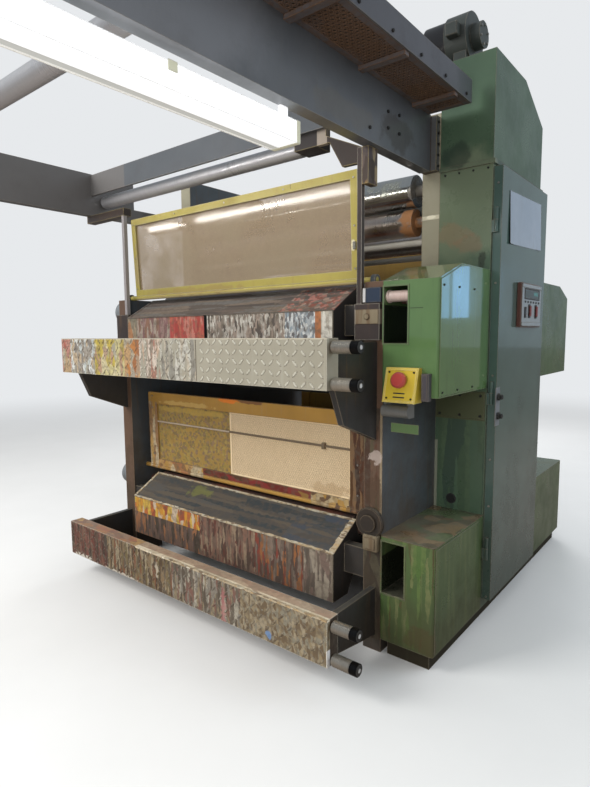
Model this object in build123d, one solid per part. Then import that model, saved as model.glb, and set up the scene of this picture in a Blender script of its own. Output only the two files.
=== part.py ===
from build123d import *
import os
from math import radians, tan

# Stack press with four printing decks between two side frames.
# X runs along the cylinders, Y runs from front to back, Z is up.
# The pieces are drawn about the middle of the side frames on the floor,
# and moved at the end so that the origin is the middle of the footprint.

# Side frames
frame_inner = 946.0
frame_wall = 100.0
foot_height = 60.0
foot_length = 220.0
frame_column_half_depth = 406.0
frame_arm_reach = 985.0
frame_arm_rise = 603.0
frame_head_room = 12.0
pivot_lug_start = 14.0
pivot_lug_width = 25.0
pivot_lug_radius = 26.0

# Ties between the side frames
tie_size = 120.0
low_tie_z = 300.0
middle_tie_rise = 3.0
top_tie_drop = 55.0
tie_bar_radius = 20.0
tie_bar_y = -300.0
tie_bar_drop = 275.0

# Decks
deck_pitch = 1197.0

# Gear case and the gear boxes on it
gear_case_width = 280.0
gear_case_half_depth = 406.0
plinth_height = 80.0
plinth_inset = 30.0
gear_case_seam_drop = 9.0
gear_case_top_height = 542.0
top_chamfer_start = 60.0
top_chamfer_drop = 159.0
seam_flange_proud = 12.0
seam_flange_height = 22.0
front_box_overhang = 15.0
rear_box_overhang = 215.0
lower_box_height = 520.0
upper_box_rise = 79.0
upper_box_front_height = 520.0
upper_box_slope_run = 233.0
upper_box_slope_rise = 80.0
box_corner_radius = 14.0
window_inset = 12.0
window_width = 118.0
window_height = 254.0
window_depth = 250.0
window_head_room = 26.0

# Side door of the gear case
door_thickness = 45.0
door_margin = 12.0
door_sill = 52.0
door_hinge_radius = 9.0
door_hinge_pin = 5.0
door_hinge_length = 60.0
door_hinge_leaf = 8.0
door_hinge_heights = [420.0, 1250.0, 2120.0]
door_pin_short = 8.0
door_knuckle_gap = 1.0
door_gap = 0.5

# Drive motor on top
motor_cowl_radius = 114.0
motor_cowl_length = 150.0
motor_cowl_chamfer = 24.0
motor_body_radius = 126.0
motor_body_length = 119.0
motor_flange_radius = 66.0
motor_flange_length = 53.0
motor_cowl_overhang = 185.0
motor_setback = 206.0
motor_axis_rise = 183.0
motor_foot_width = 180.0
motor_foot_sink = 60.0
motor_foot_inset = 8.0

# Cylinders of one deck, given for the lower front deck
running_clearance = 0.1
journal_depth = 60.0
journal_end_gap = 4.0
journal_radius = 30.0
cylinder_end_gap = 66.0
fountain_setback = 170.0
fountain_z = 528.0
fountain_radius = 70.0
fountain_end_gap = 146.0
fountain_journal_radius = 25.0
fountain_window_gap = 8.0
anilox_step = 155.0
anilox_z = 560.0
anilox_radius = 80.0
plate_step = 175.0
plate_z = 535.0
plate_radius = 90.0
impression_step = 215.0
impression_z = 505.0
impression_radius = 120.0

# Web rollers between the columns
top_roller_y = -330.0
top_roller_drop = 59.0
top_roller_radius = 88.0
second_roller_drop = 170.0
second_roller_radius = 75.0

# Fountain motors on the left hand side frame
fountain_motor_radius = 80.0
fountain_motor_length = 204.0
fountain_motor_chamfer = 16.0

# Ink tray of one deck, given for the lower front deck
tray_end_gap = 126.0
tray_sheet = 5.0
tray_overhang = 89.0
tray_rim = 472.0
tray_front_wall = 250.0
tray_lid_run = 211.0
tray_lid_rise = 123.0
tray_depth = 344.0
tray_floor_run = 130.0
tray_ramp_back = 120.0
tray_ramp_rim = 84.0
tray_back_rim = 64.0
tray_back_wall = 80.0
tray_end_plate = 6.0
tray_journal_clearance = 7.0
bracket_reach = 50.0
bracket_setback = 10.0
bracket_drop = 119.0
bracket_height = 148.0

# Step bar of one deck, given for the lower front deck
arm_offset = 39.0
arm_plate = 30.0
arm_lower_foot = 20.0
arm_upper_drop = 141.0
arm_upper_knee = 77.0
arm_upper_knee_drop = 34.0
arm_bar_low = 10.0
arm_bar_high = 20.0
bar_end_overhang = 23.0
bar_reach = 437.0
bar_depth = 81.0
bar_floor = 132.0
bar_height = 214.0

# Adjusting knobs on the right end of each bar
knob_radius = 27.0
knob_chamfer = 3.0
knob_body_length = 94.0
knob_cap_radius = 28.0
knob_cap_length = 34.0
knob_standoff = 8.0
knob_shaft_radius = 10.0
knob_shaft_depth = 60.0
knob_inset = 37.0
knob_low = 26.0
knob_high = 178.0

# Hinged guards
guard_end_gap = 56.0
guard_thickness = 25.0
guard_sheet = 3.0
guard_rod_radius = 15.0
guard_rod_overlap = 3.0
guard_rod_depth = 40.0
upper_guard_setback = 49.0
upper_guard_lift = 12.0
upper_guard_height = 514.0
upper_guard_lean = 2.7
upper_guard_stile = 40.0
upper_guard_sill = 40.0
upper_guard_rail = 40.0
lower_guard_setback = 119.0
lower_guard_z = 640.0
lower_guard_height = 526.0
lower_guard_lean = 0.6
lower_guard_stile = 93.0
lower_guard_sill = 45.0
lower_guard_rail = 80.0
lower_guard_bar_height = 324.0
lower_guard_bar_radius = 6.0
lower_guard_bar_forward = 8.0
lower_guard_clamp = 618.0
lower_guard_clamp_width = 20.0
lower_guard_clamp_height = 34.0

# Stop button, junction box, air cylinder and control panel
stop_box_width = 160.0
stop_box_height = 154.0
stop_box_depth = 70.0
stop_box_inset = 44.0
stop_box_rise = -22.0
stop_box_lean = 14.0
stop_button_radius = 36.0
stop_button_raise = 19.0
stop_button_height = 22.0
stop_button_chamfer = 7.0
stop_stem_radius = 14.0
stop_stem_length = 20.0
stop_travel = 6.0
stop_head_gap = 12.0
junction_gap = 12.0
junction_width = 34.0
junction_depth = 30.0
junction_rise = 10.0
junction_height = 120.0
air_cylinder_radius = 29.0
air_cylinder_length = 134.0
air_cylinder_drop = 70.0
air_cylinder_lug = 14.0
air_cylinder_lug_depth = 44.0
panel_start = -117.0
panel_width = 365.0
panel_rise = 392.0
panel_height = 242.0
panel_depth = 40.0

# Overhead bridge
bridge_rise = 604.0
bridge_front = 2790.0
beam_height = 284.0
beam_flange = 60.0
beam_wall = 8.0
beam_end_gap = 40.0
left_beam_offset = 352.0
left_beam_step = 655.0
left_beam_low = 96.0
end_bracket_inset = 10.0
end_bracket_width = 84.0
bridge_arm_height = 50.0
bridge_arm_depth = 60.0
post_size = 25.0
post_gap = 26.0
post_bracket_drop = 164.0
post_bracket_depth = 80.0
post_bracket_width = 34.0
post_foot_overlap = 10.0
post_foot_width = 134.0
post_foot_depth = 27.0
post_foot_height = 168.0
walkway_width = 218.0
walkway_plate = 6.0
walkway_gap = 24.0
walkway_rail_height = 108.0
walkway_rail_wall = 8.0
bridge_roller_radius = 42.0
bridge_roller_journal = 15.0
bridge_bush_radius = 40.0
bridge_roller_rise = 102.0
rear_roller_setback = 80.0
front_roller_setback = 615.0
bridge_roller_end_gap = 20.0
roller_hanger_start = 527.0
roller_hanger_width = 135.0
roller_hanger_low = 66.0
roller_hanger_high = 196.0
roller_hanger_depth = 120.0
roller_hanger_plate = 25.0
roller_hanger_toe = 59.0
roller_hanger_run = 160.0
roller_hanger_gap = 7.0
bridge_tie_size = 80.0
bridge_tie_setback = 80.0
bridge_plate_thickness = 20.0
bridge_plate_height = 140.0
lamp_width = 130.0
lamp_height = 80.0
lamp_length = 1270.0
lamp_front_gap = 30.0
lamp_offset = 116.0
lamp_drop = 32.0
lamp_hanger_length = 40.0
lamp_hanger_inset = 70.0


def block(x0, x1, y0, y1, z0, z1):
    """A box between the given corners."""
    centre = Pos((x0 + x1) / 2, (y0 + y1) / 2, (z0 + z1) / 2)
    return centre * Box(x1 - x0, y1 - y0, z1 - z0)


def side_profile(points, x0, x1):
    """A profile drawn in Y and Z, run along X."""
    face = make_face(Plane.YZ * Polyline(*points, close=True))
    return Pos(x0, 0, 0) * extrude(face, amount=x1 - x0, dir=(1, 0, 0))


def front_profile(points, y0, y1):
    """A profile drawn in X and Z, run along Y."""
    face = make_face(Plane.XZ * Polyline(*points, close=True))
    return Pos(0, y0, 0) * extrude(face, amount=y1 - y0, dir=(0, 1, 0))


def rod(y, z, radius, x0, x1):
    """A round bar along X."""
    return Pos((x0 + x1) / 2, y, z) * Rot(0, 90, 0) * Cylinder(radius, x1 - x0)


def to_back(part):
    """The same piece on the far side of the press."""
    return mirror(part, about=Plane.XZ)


def to_left(part):
    """The same piece at the left hand side frame."""
    return mirror(part, about=Plane.YZ)


def sheet_path(points, thickness):
    """Closed outline of a bent sheet whose outer face follows the points."""
    inner = []
    count = len(points)
    for index in range(count):
        before = points[max(index - 1, 0)]
        here = points[index]
        after = points[min(index + 1, count - 1)]
        normals = []
        for start, end in ((before, here), (here, after)):
            run = end[0] - start[0]
            rise = end[1] - start[1]
            length = (run * run + rise * rise) ** 0.5
            if length > 0:
                normals.append((-rise / length, run / length))
        mean_y = sum(normal[0] for normal in normals) / len(normals)
        mean_z = sum(normal[1] for normal in normals) / len(normals)
        square = mean_y * mean_y + mean_z * mean_z
        shift_y = mean_y / square * thickness
        shift_z = mean_z / square * thickness
        inner.append((here[0] + shift_y, here[1] + shift_z))
    return points + inner[::-1]


nodes = {}
frame_outer = frame_inner + frame_wall
cylinder_half = frame_inner - cylinder_end_gap
frame_arm_top = deck_pitch + frame_arm_rise
upper_box_floor = deck_pitch + upper_box_rise
bridge_floor = frame_arm_top + bridge_rise
gear_case_seam = bridge_floor - gear_case_seam_drop
gear_case_height = gear_case_seam + gear_case_top_height
top_roller_z = bridge_floor - top_roller_drop
tie_bar_z = top_roller_z - tie_bar_drop
tie_heights = [low_tie_z, deck_pitch + middle_tie_rise, top_roller_z - top_tie_drop]
panel_floor = deck_pitch + panel_rise
guard_half_width = frame_inner - guard_end_gap
frame_top = bridge_floor + beam_height + frame_head_room
bar_front = frame_arm_reach + bar_reach
bar_back = bar_front - bar_depth
fountain_y = -frame_arm_reach + fountain_setback
anilox_y = fountain_y + anilox_step
plate_y = anilox_y + plate_step
impression_y = plate_y + impression_step
second_roller_z = top_roller_z - second_roller_drop
upper_guard_y = -frame_arm_reach + upper_guard_setback
upper_guard_z = frame_arm_top + upper_guard_lift
lower_guard_y = -frame_arm_reach + lower_guard_setback

# Places of the journals in a side frame, front half
journals = []
fountains = []
for lift in (0.0, deck_pitch):
    journals.append((impression_y, impression_z + lift, journal_radius))
    journals.append((plate_y, plate_z + lift, journal_radius))
    journals.append((anilox_y, anilox_z + lift, journal_radius))
    fountains.append((fountain_y, fountain_z + lift, fountain_journal_radius))
journals.append((top_roller_y, top_roller_z, journal_radius))
journals.append((top_roller_y, second_roller_z, journal_radius))

# Side frames on their feet
front_edge = [
    (-frame_arm_reach + foot_length, foot_height),
    (-frame_arm_reach + foot_length, 0.0),
    (-frame_arm_reach, 0.0),
    (-frame_arm_reach, frame_arm_top),
    (-frame_column_half_depth, frame_arm_top),
    (-frame_column_half_depth, frame_top),
]
frame_outline = front_edge + [(-y, z) for y, z in reversed(front_edge)]
right_frame = side_profile(frame_outline, frame_inner, frame_outer)
lug_start = frame_inner + pivot_lug_start
pivot_lug = rod(upper_guard_y, upper_guard_z, pivot_lug_radius, lug_start, lug_start + pivot_lug_width)
pivot_lug += block(
    lug_start, lug_start + pivot_lug_width,
    upper_guard_y - pivot_lug_radius, upper_guard_y + pivot_lug_radius, frame_arm_top, upper_guard_z
)
right_frame += pivot_lug + to_back(pivot_lug)
for y, z, radius in journals:
    bore = rod(y, z, radius + running_clearance, frame_inner, frame_inner + journal_depth)
    right_frame -= bore + to_back(bore)
rod_bore = guard_rod_radius + running_clearance
for y, z in ((upper_guard_y, upper_guard_z), (lower_guard_y, lower_guard_z)):
    bore = rod(y, z, rod_bore, frame_inner, frame_inner + guard_rod_depth)
    right_frame -= bore + to_back(bore)
left_frame = to_left(right_frame)
for y, z, radius in fountains:
    through = rod(y, z, radius + running_clearance, frame_inner, frame_outer)
    right_frame -= through + to_back(through)
    bore = rod(y, z, radius + running_clearance, -frame_inner - journal_depth, -frame_inner)
    left_frame -= bore + to_back(bore)
nodes["side_frame_right"] = right_frame
nodes["side_frame_left"] = left_frame

# Ties that hold the side frames apart
ties = []
half = tie_size / 2
for centre in tie_heights:
    ties.append(block(-frame_inner, frame_inner, -half, half, centre - half, centre + half))
tie_bar = rod(tie_bar_y, tie_bar_z, tie_bar_radius, -frame_inner, frame_inner)
ties.append(tie_bar)
ties.append(to_back(tie_bar))
nodes["cross_ties"] = ties[0] + ties[1:]

# Gear case, plinth and top box
case_inner = frame_outer
case_outer = case_inner + gear_case_width
front_box_front = frame_arm_reach + front_box_overhang
rear_box_front = frame_arm_reach + rear_box_overhang
nodes["gear_case"] = block(
    case_inner, case_outer, -gear_case_half_depth, gear_case_half_depth, plinth_height, gear_case_seam
)
nodes["base_plinth"] = block(
    case_inner + plinth_inset, case_outer - plinth_inset,
    -front_box_front + plinth_inset, rear_box_front - plinth_inset, 0, plinth_height
)
top_outline = [
    (-gear_case_half_depth, gear_case_seam),
    (-gear_case_half_depth, gear_case_height),
    (top_chamfer_start, gear_case_height),
    (gear_case_half_depth, gear_case_height - top_chamfer_drop),
    (gear_case_half_depth, gear_case_seam),
]
top_box = side_profile(top_outline, case_inner, case_outer)
top_box += block(
    case_inner, case_outer + seam_flange_proud,
    -gear_case_half_depth - seam_flange_proud, gear_case_half_depth + seam_flange_proud,
    gear_case_seam, gear_case_seam + seam_flange_height
)
nodes["gear_case_top"] = top_box


def gear_box(front, outline, window_top, depth, journal_z):
    """Closed gear box with an open window at its inner front corner."""
    box = side_profile(outline, case_inner, case_outer)
    long_edges = box.edges().filter_by(Axis.Z).filter_by_position(Axis.Y, -front - 1, -front + 1)
    box = fillet(long_edges, box_corner_radius)
    window_start = case_inner + window_inset
    box -= block(
        window_start, window_start + window_width,
        -front - 1, -front + depth, window_top - window_height, window_top
    )
    box -= rod(
        fountain_y, journal_z, fountain_journal_radius + running_clearance,
        case_inner - 1, window_start + 1
    )
    return box


def upper_outline(front):
    """Profile of an upper gear box with its sloping top."""
    front_top = upper_box_floor + upper_box_front_height
    return [
        (-front, upper_box_floor),
        (-front, front_top),
        (-front + upper_box_slope_run, front_top + upper_box_slope_rise),
        (-gear_case_half_depth, front_top + upper_box_slope_rise),
        (-gear_case_half_depth, upper_box_floor),
    ]


def lower_outline(front):
    """Profile of a lower gear box."""
    return [
        (-front, plinth_height),
        (-front, plinth_height + lower_box_height),
        (-gear_case_half_depth, plinth_height + lower_box_height),
        (-gear_case_half_depth, plinth_height),
    ]


upper_window_top = upper_box_floor + upper_box_front_height - window_head_room
lower_window_top = plinth_height + lower_box_height - window_head_room
upper_fountain_z = fountain_z + deck_pitch
rear_window_depth = window_depth + rear_box_overhang - front_box_overhang
nodes["upper_front_gear_box"] = gear_box(
    front_box_front, upper_outline(front_box_front), upper_window_top, window_depth, upper_fountain_z
)
nodes["lower_front_gear_box"] = gear_box(
    front_box_front, lower_outline(front_box_front), lower_window_top, window_depth, fountain_z
)
rear_boxes = gear_box(
    rear_box_front, upper_outline(rear_box_front), upper_window_top, rear_window_depth, upper_fountain_z
)
rear_boxes += gear_box(
    rear_box_front, lower_outline(rear_box_front), lower_window_top, rear_window_depth, fountain_z
)
nodes["rear_gear_boxes"] = to_back(rear_boxes)

# Side door on the gear case, hinged at its front edge
door_face = case_outer + door_gap
door = block(
    door_face, door_face + door_thickness,
    -gear_case_half_depth + door_margin, gear_case_half_depth - door_margin,
    plinth_height + door_sill, gear_case_seam - door_margin
)
hinge_x = door_face + door_thickness / 2
hinge_y = -gear_case_half_depth
door_front = -gear_case_half_depth + door_margin
case_hinges = []
for height in door_hinge_heights:
    knuckle = Pos(hinge_x, hinge_y, height - door_hinge_length / 2) * Cylinder(
        door_hinge_radius, door_hinge_length
    )
    knuckle += block(
        case_outer, hinge_x, hinge_y - door_hinge_leaf / 2, hinge_y + door_hinge_leaf / 2,
        height - door_hinge_length, height
    )
    pin_length = door_hinge_length - door_pin_short
    knuckle += Pos(hinge_x, hinge_y, height + pin_length / 2) * Cylinder(door_hinge_pin, pin_length)
    case_hinges.append(knuckle)
    low = height + door_knuckle_gap
    high = height + door_hinge_length
    leaf = Pos(hinge_x, hinge_y, (low + high) / 2) * Cylinder(door_hinge_radius, high - low)
    leaf += block(
        hinge_x - door_hinge_leaf / 2, hinge_x + door_hinge_leaf / 2, hinge_y, door_front, low, high
    )
    door += leaf
    door -= Pos(hinge_x, hinge_y, (low + high) / 2) * Cylinder(
        door_hinge_pin + running_clearance, high - low
    )
nodes["gear_case_door"] = door
nodes["gear_case_door_hinges"] = case_hinges[0] + case_hinges[1:]

# Control panel on the door
nodes["control_panel"] = block(
    door_face + door_thickness, door_face + door_thickness + panel_depth,
    panel_start, panel_start + panel_width, panel_floor, panel_floor + panel_height
)

# Drive motor on the top box, its cowl over the side frame
motor_y = -gear_case_half_depth + motor_setback
motor_z = gear_case_height + motor_axis_rise
cowl_start = case_inner - motor_cowl_overhang
cowl_end = cowl_start + motor_cowl_length
body_end = cowl_end + motor_body_length
cowl = rod(motor_y, motor_z, motor_cowl_radius, cowl_start, cowl_end)
nodes["motor_cowl"] = chamfer(cowl.edges().sort_by(Axis.X)[0], motor_cowl_chamfer)
motor_body = rod(motor_y, motor_z, motor_body_radius, cowl_end, body_end)
motor_body += block(
    case_inner + motor_foot_inset, body_end - motor_foot_inset,
    motor_y - motor_foot_width / 2, motor_y + motor_foot_width / 2,
    gear_case_height, motor_z - motor_foot_sink
)
motor_body += rod(motor_y, motor_z, motor_flange_radius, body_end, body_end + motor_flange_length)
nodes["motor_body"] = motor_body


def roller(y, z, radius, journal, body_ends, journal_ends):
    """A cylinder with its journals, along X."""
    body = rod(y, z, radius, body_ends[0], body_ends[1])
    return body + rod(y, z, journal, journal_ends[0], journal_ends[1])


journal_end = frame_inner + journal_depth - journal_end_gap
cylinder_ends = (-cylinder_half, cylinder_half)
journal_ends = (-journal_end, journal_end)


def deck_set(y, z, radius):
    """Four like cylinders, one in each deck."""
    lower = roller(y, z, radius, journal_radius, cylinder_ends, journal_ends)
    pair = lower + Pos(0, 0, deck_pitch) * lower
    return pair + to_back(pair)


nodes["impression_cylinders"] = deck_set(impression_y, impression_z, impression_radius)
nodes["plate_cylinders"] = deck_set(plate_y, plate_z, plate_radius)
nodes["anilox_rollers"] = deck_set(anilox_y, anilox_z, anilox_radius)
fountain_half = frame_inner - fountain_end_gap
fountain_right_end = case_inner + window_inset + window_width - fountain_window_gap
fountain_roller = roller(
    fountain_y, fountain_z, fountain_radius, fountain_journal_radius,
    (-fountain_half, fountain_half), (-journal_end, fountain_right_end)
)
nodes["lower_front_fountain_roller"] = fountain_roller
nodes["upper_front_fountain_roller"] = Pos(0, 0, deck_pitch) * fountain_roller
rear_fountains = to_back(fountain_roller)
nodes["rear_fountain_rollers"] = rear_fountains + Pos(0, 0, deck_pitch) * rear_fountains
top_roller = roller(
    top_roller_y, top_roller_z, top_roller_radius, journal_radius, cylinder_ends, journal_ends
)
second_roller = roller(
    top_roller_y, second_roller_z, second_roller_radius, journal_radius, cylinder_ends, journal_ends
)
nodes["front_top_roller"] = top_roller
nodes["front_second_roller"] = second_roller
nodes["rear_web_rollers"] = to_back(top_roller) + to_back(second_roller)

# Motors that turn the fountain rollers, on the left hand side frame
fountain_motor = rod(
    fountain_y, fountain_z, fountain_motor_radius, -frame_outer - fountain_motor_length, -frame_outer
)
fountain_motor = chamfer(fountain_motor.edges().sort_by(Axis.X)[0], fountain_motor_chamfer)
fountain_motors = fountain_motor + to_back(fountain_motor)
nodes["fountain_motors"] = fountain_motors + Pos(0, 0, deck_pitch) * fountain_motors

# Ink trays with a sloping lid
tray_half = frame_inner - tray_end_gap
tray_front = frame_arm_reach + tray_overhang
tray_floor = tray_rim - tray_front_wall
tray_back = tray_front - tray_depth
tray_path = [
    (-tray_front + tray_lid_run, tray_rim + tray_lid_rise),
    (-tray_front, tray_rim),
    (-tray_front, tray_floor),
    (-tray_front + tray_floor_run, tray_floor),
    (-tray_back - tray_ramp_back, tray_rim - tray_ramp_rim),
    (-tray_back, tray_rim - tray_back_rim),
    (-tray_back, tray_rim - tray_back_rim + tray_back_wall),
]
tray = side_profile(sheet_path(tray_path, tray_sheet), -tray_half, tray_half)
tray_pair = tray + Pos(0, 0, deck_pitch) * tray
nodes["ink_trays"] = tray_pair + to_back(tray_pair)

# End plates of the trays, with the brackets that hold them on the frames
end_outer = tray_half + tray_end_plate
bracket_top = tray_rim - bracket_drop + bracket_height
tray_end = side_profile(tray_path, tray_half, end_outer)
bracket_front = -frame_arm_reach + bracket_setback
tray_end += block(
    end_outer, frame_inner, bracket_front, bracket_front + bracket_reach,
    tray_rim - bracket_drop, bracket_top
)
tray_end -= rod(
    fountain_y, fountain_z, fountain_journal_radius + tray_journal_clearance, tray_half - 1, end_outer + 1
)
tray_ends = tray_end + to_left(tray_end)
tray_ends += Pos(0, 0, deck_pitch) * tray_ends
nodes["ink_tray_ends"] = tray_ends + to_back(tray_ends)

# Step bars and the arms that carry them
arm_inner = frame_inner + arm_offset
arm_outer = arm_inner + arm_plate
bar_half = arm_outer + bar_end_overhang
bar = block(-bar_half, bar_half, -bar_front, -bar_back, bar_floor, bar_floor + bar_height)
knob_y = -bar_front + knob_inset
for height in (knob_low, knob_high):
    bar -= rod(
        knob_y, bar_floor + height, knob_shaft_radius + running_clearance,
        bar_half - knob_shaft_depth, bar_half
    )
bar_pair = bar + Pos(0, 0, deck_pitch) * bar
nodes["step_bars"] = bar_pair + to_back(bar_pair)

arm_low = bar_floor + arm_bar_low
arm_high = bar_floor + bar_height - arm_bar_high
lower_arm_outline = [
    (-frame_arm_reach, foot_height + arm_lower_foot),
    (-bar_back, arm_low),
    (-bar_back, arm_high),
    (-frame_arm_reach, arm_high),
]
upper_arm_outline = [
    (-frame_arm_reach, deck_pitch - arm_upper_drop),
    (-bar_back + arm_upper_knee, deck_pitch - arm_upper_knee_drop),
    (-bar_back, deck_pitch + arm_low),
    (-bar_back, deck_pitch + arm_high),
    (-frame_arm_reach, deck_pitch + arm_high),
]
arms = side_profile(lower_arm_outline, arm_inner, arm_outer)
arms += side_profile(upper_arm_outline, arm_inner, arm_outer)
arms += to_left(arms)
nodes["bar_arms"] = arms + to_back(arms)

# Adjusting knobs
knob_start = bar_half + knob_standoff
knob_end = knob_start + knob_body_length
knob = rod(knob_y, 0, knob_radius, knob_start, knob_end)
knob = chamfer(knob.edges().filter_by(GeomType.CIRCLE), knob_chamfer)
knob += rod(knob_y, 0, knob_cap_radius, knob_end, knob_end + knob_cap_length)
knob += rod(
    knob_y, 0, knob_shaft_radius, bar_half - knob_shaft_depth + journal_end_gap, knob_start
)
nodes["lower_bar_knob_low"] = Pos(0, 0, bar_floor + knob_low) * knob
nodes["lower_bar_knob_high"] = Pos(0, 0, bar_floor + knob_high) * knob
nodes["upper_bar_knob_low"] = Pos(0, 0, deck_pitch + bar_floor + knob_low) * knob
nodes["upper_bar_knob_high"] = Pos(0, 0, deck_pitch + bar_floor + knob_high) * knob
rear_knobs = []
for lift in (0.0, deck_pitch):
    for height in (knob_low, knob_high):
        rear_knobs.append(to_back(Pos(0, 0, lift + bar_floor + height) * knob))
nodes["rear_bar_knobs"] = rear_knobs[0] + rear_knobs[1:]

# Guards, drawn standing on a pivot rod at the origin
guard_low = guard_rod_radius - guard_rod_overlap
half = guard_thickness / 2


def guard_frame(height, stile, sill, rail):
    """Guard frame with its pivot rod."""
    frame = block(-guard_half_width, guard_half_width, -half, half, guard_low, height)
    frame -= block(
        -guard_half_width + stile, guard_half_width - stile, -half, half, guard_low + sill, height - rail
    )
    reach = frame_inner + guard_rod_depth - guard_rod_overlap
    return frame + rod(0, 0, guard_rod_radius, -reach, reach)


def guard_panel(height, stile, sill, rail):
    """Sheet that closes a guard frame."""
    return block(
        -guard_half_width + stile, guard_half_width - stile,
        -guard_sheet / 2, guard_sheet / 2, guard_low + sill, height - rail
    )


upper_sizes = (upper_guard_height, upper_guard_stile, upper_guard_sill, upper_guard_rail)
lower_sizes = (lower_guard_height, lower_guard_stile, lower_guard_sill, lower_guard_rail)
upper_place = Pos(0, upper_guard_y, upper_guard_z) * Rot(upper_guard_lean, 0, 0)
lower_place = Pos(0, lower_guard_y, lower_guard_z) * Rot(lower_guard_lean, 0, 0)
upper_frame = guard_frame(*upper_sizes)
lower_frame = guard_frame(*lower_sizes)
lock_bar_end = guard_half_width - lower_guard_stile
lower_frame += rod(
    -lower_guard_bar_forward, lower_guard_bar_height, lower_guard_bar_radius, -lock_bar_end, lock_bar_end
)
lower_frame += block(
    lower_guard_clamp, lower_guard_clamp + lower_guard_clamp_width,
    -lower_guard_bar_forward - lower_guard_bar_radius - guard_sheet, -guard_sheet,
    lower_guard_bar_height - lower_guard_clamp_height / 2,
    lower_guard_bar_height + lower_guard_clamp_height / 2
)
nodes["upper_front_guard_frame"] = upper_place * upper_frame
nodes["upper_front_guard_panel"] = upper_place * guard_panel(*upper_sizes)
nodes["lower_front_guard_frame"] = lower_place * lower_frame
nodes["lower_front_guard_panel"] = lower_place * guard_panel(*lower_sizes)
nodes["rear_guard_frames"] = to_back(upper_place * upper_frame) + to_back(lower_place * lower_frame)
rear_panels = to_back(upper_place * guard_panel(*upper_sizes))
nodes["rear_guard_panels"] = rear_panels + to_back(lower_place * guard_panel(*lower_sizes))

# Stop button on the upper front gear box
stop_left = case_inner + stop_box_inset
stop_floor = upper_box_floor + stop_box_rise
stop_place = Pos(stop_left + stop_box_width / 2, -front_box_front, stop_floor)
stop_back = stop_box_height * tan(radians(stop_box_lean))
stop_profile = [
    (0.0, 0.0),
    (-stop_box_depth, 0.0),
    (-stop_box_depth + stop_back, stop_box_height),
    (0.0, stop_box_height),
]
stop_box = stop_place * side_profile(stop_profile, -stop_box_width / 2, stop_box_width / 2)
button_rise = stop_box_height / 2 + stop_button_raise
button_setback = button_rise * tan(radians(stop_box_lean))
button_place = stop_place * Pos(0, -stop_box_depth + button_setback, button_rise)
button_place = button_place * Rot(90.0 - stop_box_lean, 0, 0)
stem_bore = Pos(0, 0, -stop_stem_length / 2 + 1) * Cylinder(
    stop_stem_radius + running_clearance, stop_stem_length + 2 * stop_travel
)
nodes["stop_button_box"] = stop_box - button_place * stem_bore
button = Pos(0, 0, stop_head_gap + stop_button_height / 2) * Cylinder(stop_button_radius, stop_button_height)
button = chamfer(button.edges().sort_by(Axis.Z)[-1], stop_button_chamfer)
stem_reach = stop_stem_length - stop_travel - 2.0
button += Pos(0, 0, (stop_head_gap - stem_reach) / 2) * Cylinder(
    stop_stem_radius, stop_head_gap + stem_reach
)
nodes["stop_button"] = button_place * button
junction_start = stop_left + stop_box_width + junction_gap
nodes["junction_box"] = block(
    junction_start, junction_start + junction_width, -front_box_front - junction_depth, -front_box_front,
    stop_floor + junction_rise, stop_floor + junction_rise + junction_height
)

# Air cylinder under the upper front gear box, hung on two lugs
air_start = case_inner + air_cylinder_lug
air_z = upper_box_floor - air_cylinder_drop
air_cylinder = rod(-front_box_front, air_z, air_cylinder_radius, air_start, air_start + air_cylinder_length)
for x in (air_start, air_start + air_cylinder_length - air_cylinder_lug):
    air_cylinder += block(
        x, x + air_cylinder_lug, -front_box_front, -front_box_front + air_cylinder_lug_depth,
        air_z - air_cylinder_radius, upper_box_floor
    )
nodes["air_cylinder"] = air_cylinder

# Posts in front of the guards, on feet fixed to the side frames
post_inner = guard_half_width + post_gap
post_front = -frame_arm_reach - post_size
post_foot_top = bracket_top + deck_pitch
post_foot_start = post_inner - post_foot_overlap
post_foot = block(
    post_foot_start, post_foot_start + post_foot_width, -frame_arm_reach - post_foot_depth, -frame_arm_reach,
    post_foot_top - post_foot_height, post_foot_top
)
right_post = post_foot + block(
    post_inner, post_inner + post_size, post_front, -frame_arm_reach, post_foot_top, bridge_floor
)
left_post = to_left(post_foot) + block(
    -post_inner - post_size, -post_inner, post_front, -frame_arm_reach,
    post_foot_top, bridge_floor - bridge_arm_height
)
nodes["guard_posts"] = right_post + left_post

# Brackets and arms that carry the two beams of the bridge
beam_back = -frame_column_half_depth - beam_end_gap
beam_top = bridge_floor + beam_height
right_web = frame_inner + beam_flange
left_web = -frame_inner - left_beam_offset
left_edge = left_web - beam_flange
bridge_brackets = block(
    frame_inner + end_bracket_inset, frame_inner + end_bracket_inset + end_bracket_width,
    beam_back, -frame_column_half_depth, bridge_floor, beam_top - beam_wall
)
bridge_brackets += block(
    post_inner + post_size, post_inner + post_size + post_bracket_width, post_front,
    post_front + post_bracket_depth, bridge_floor - post_bracket_drop, bridge_floor
)
arm_floor = bridge_floor - bridge_arm_height
for front in (post_front, -frame_column_half_depth - bridge_arm_depth):
    bridge_brackets += block(
        left_edge, -post_inner, front, front + bridge_arm_depth, arm_floor, bridge_floor
    )

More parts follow.
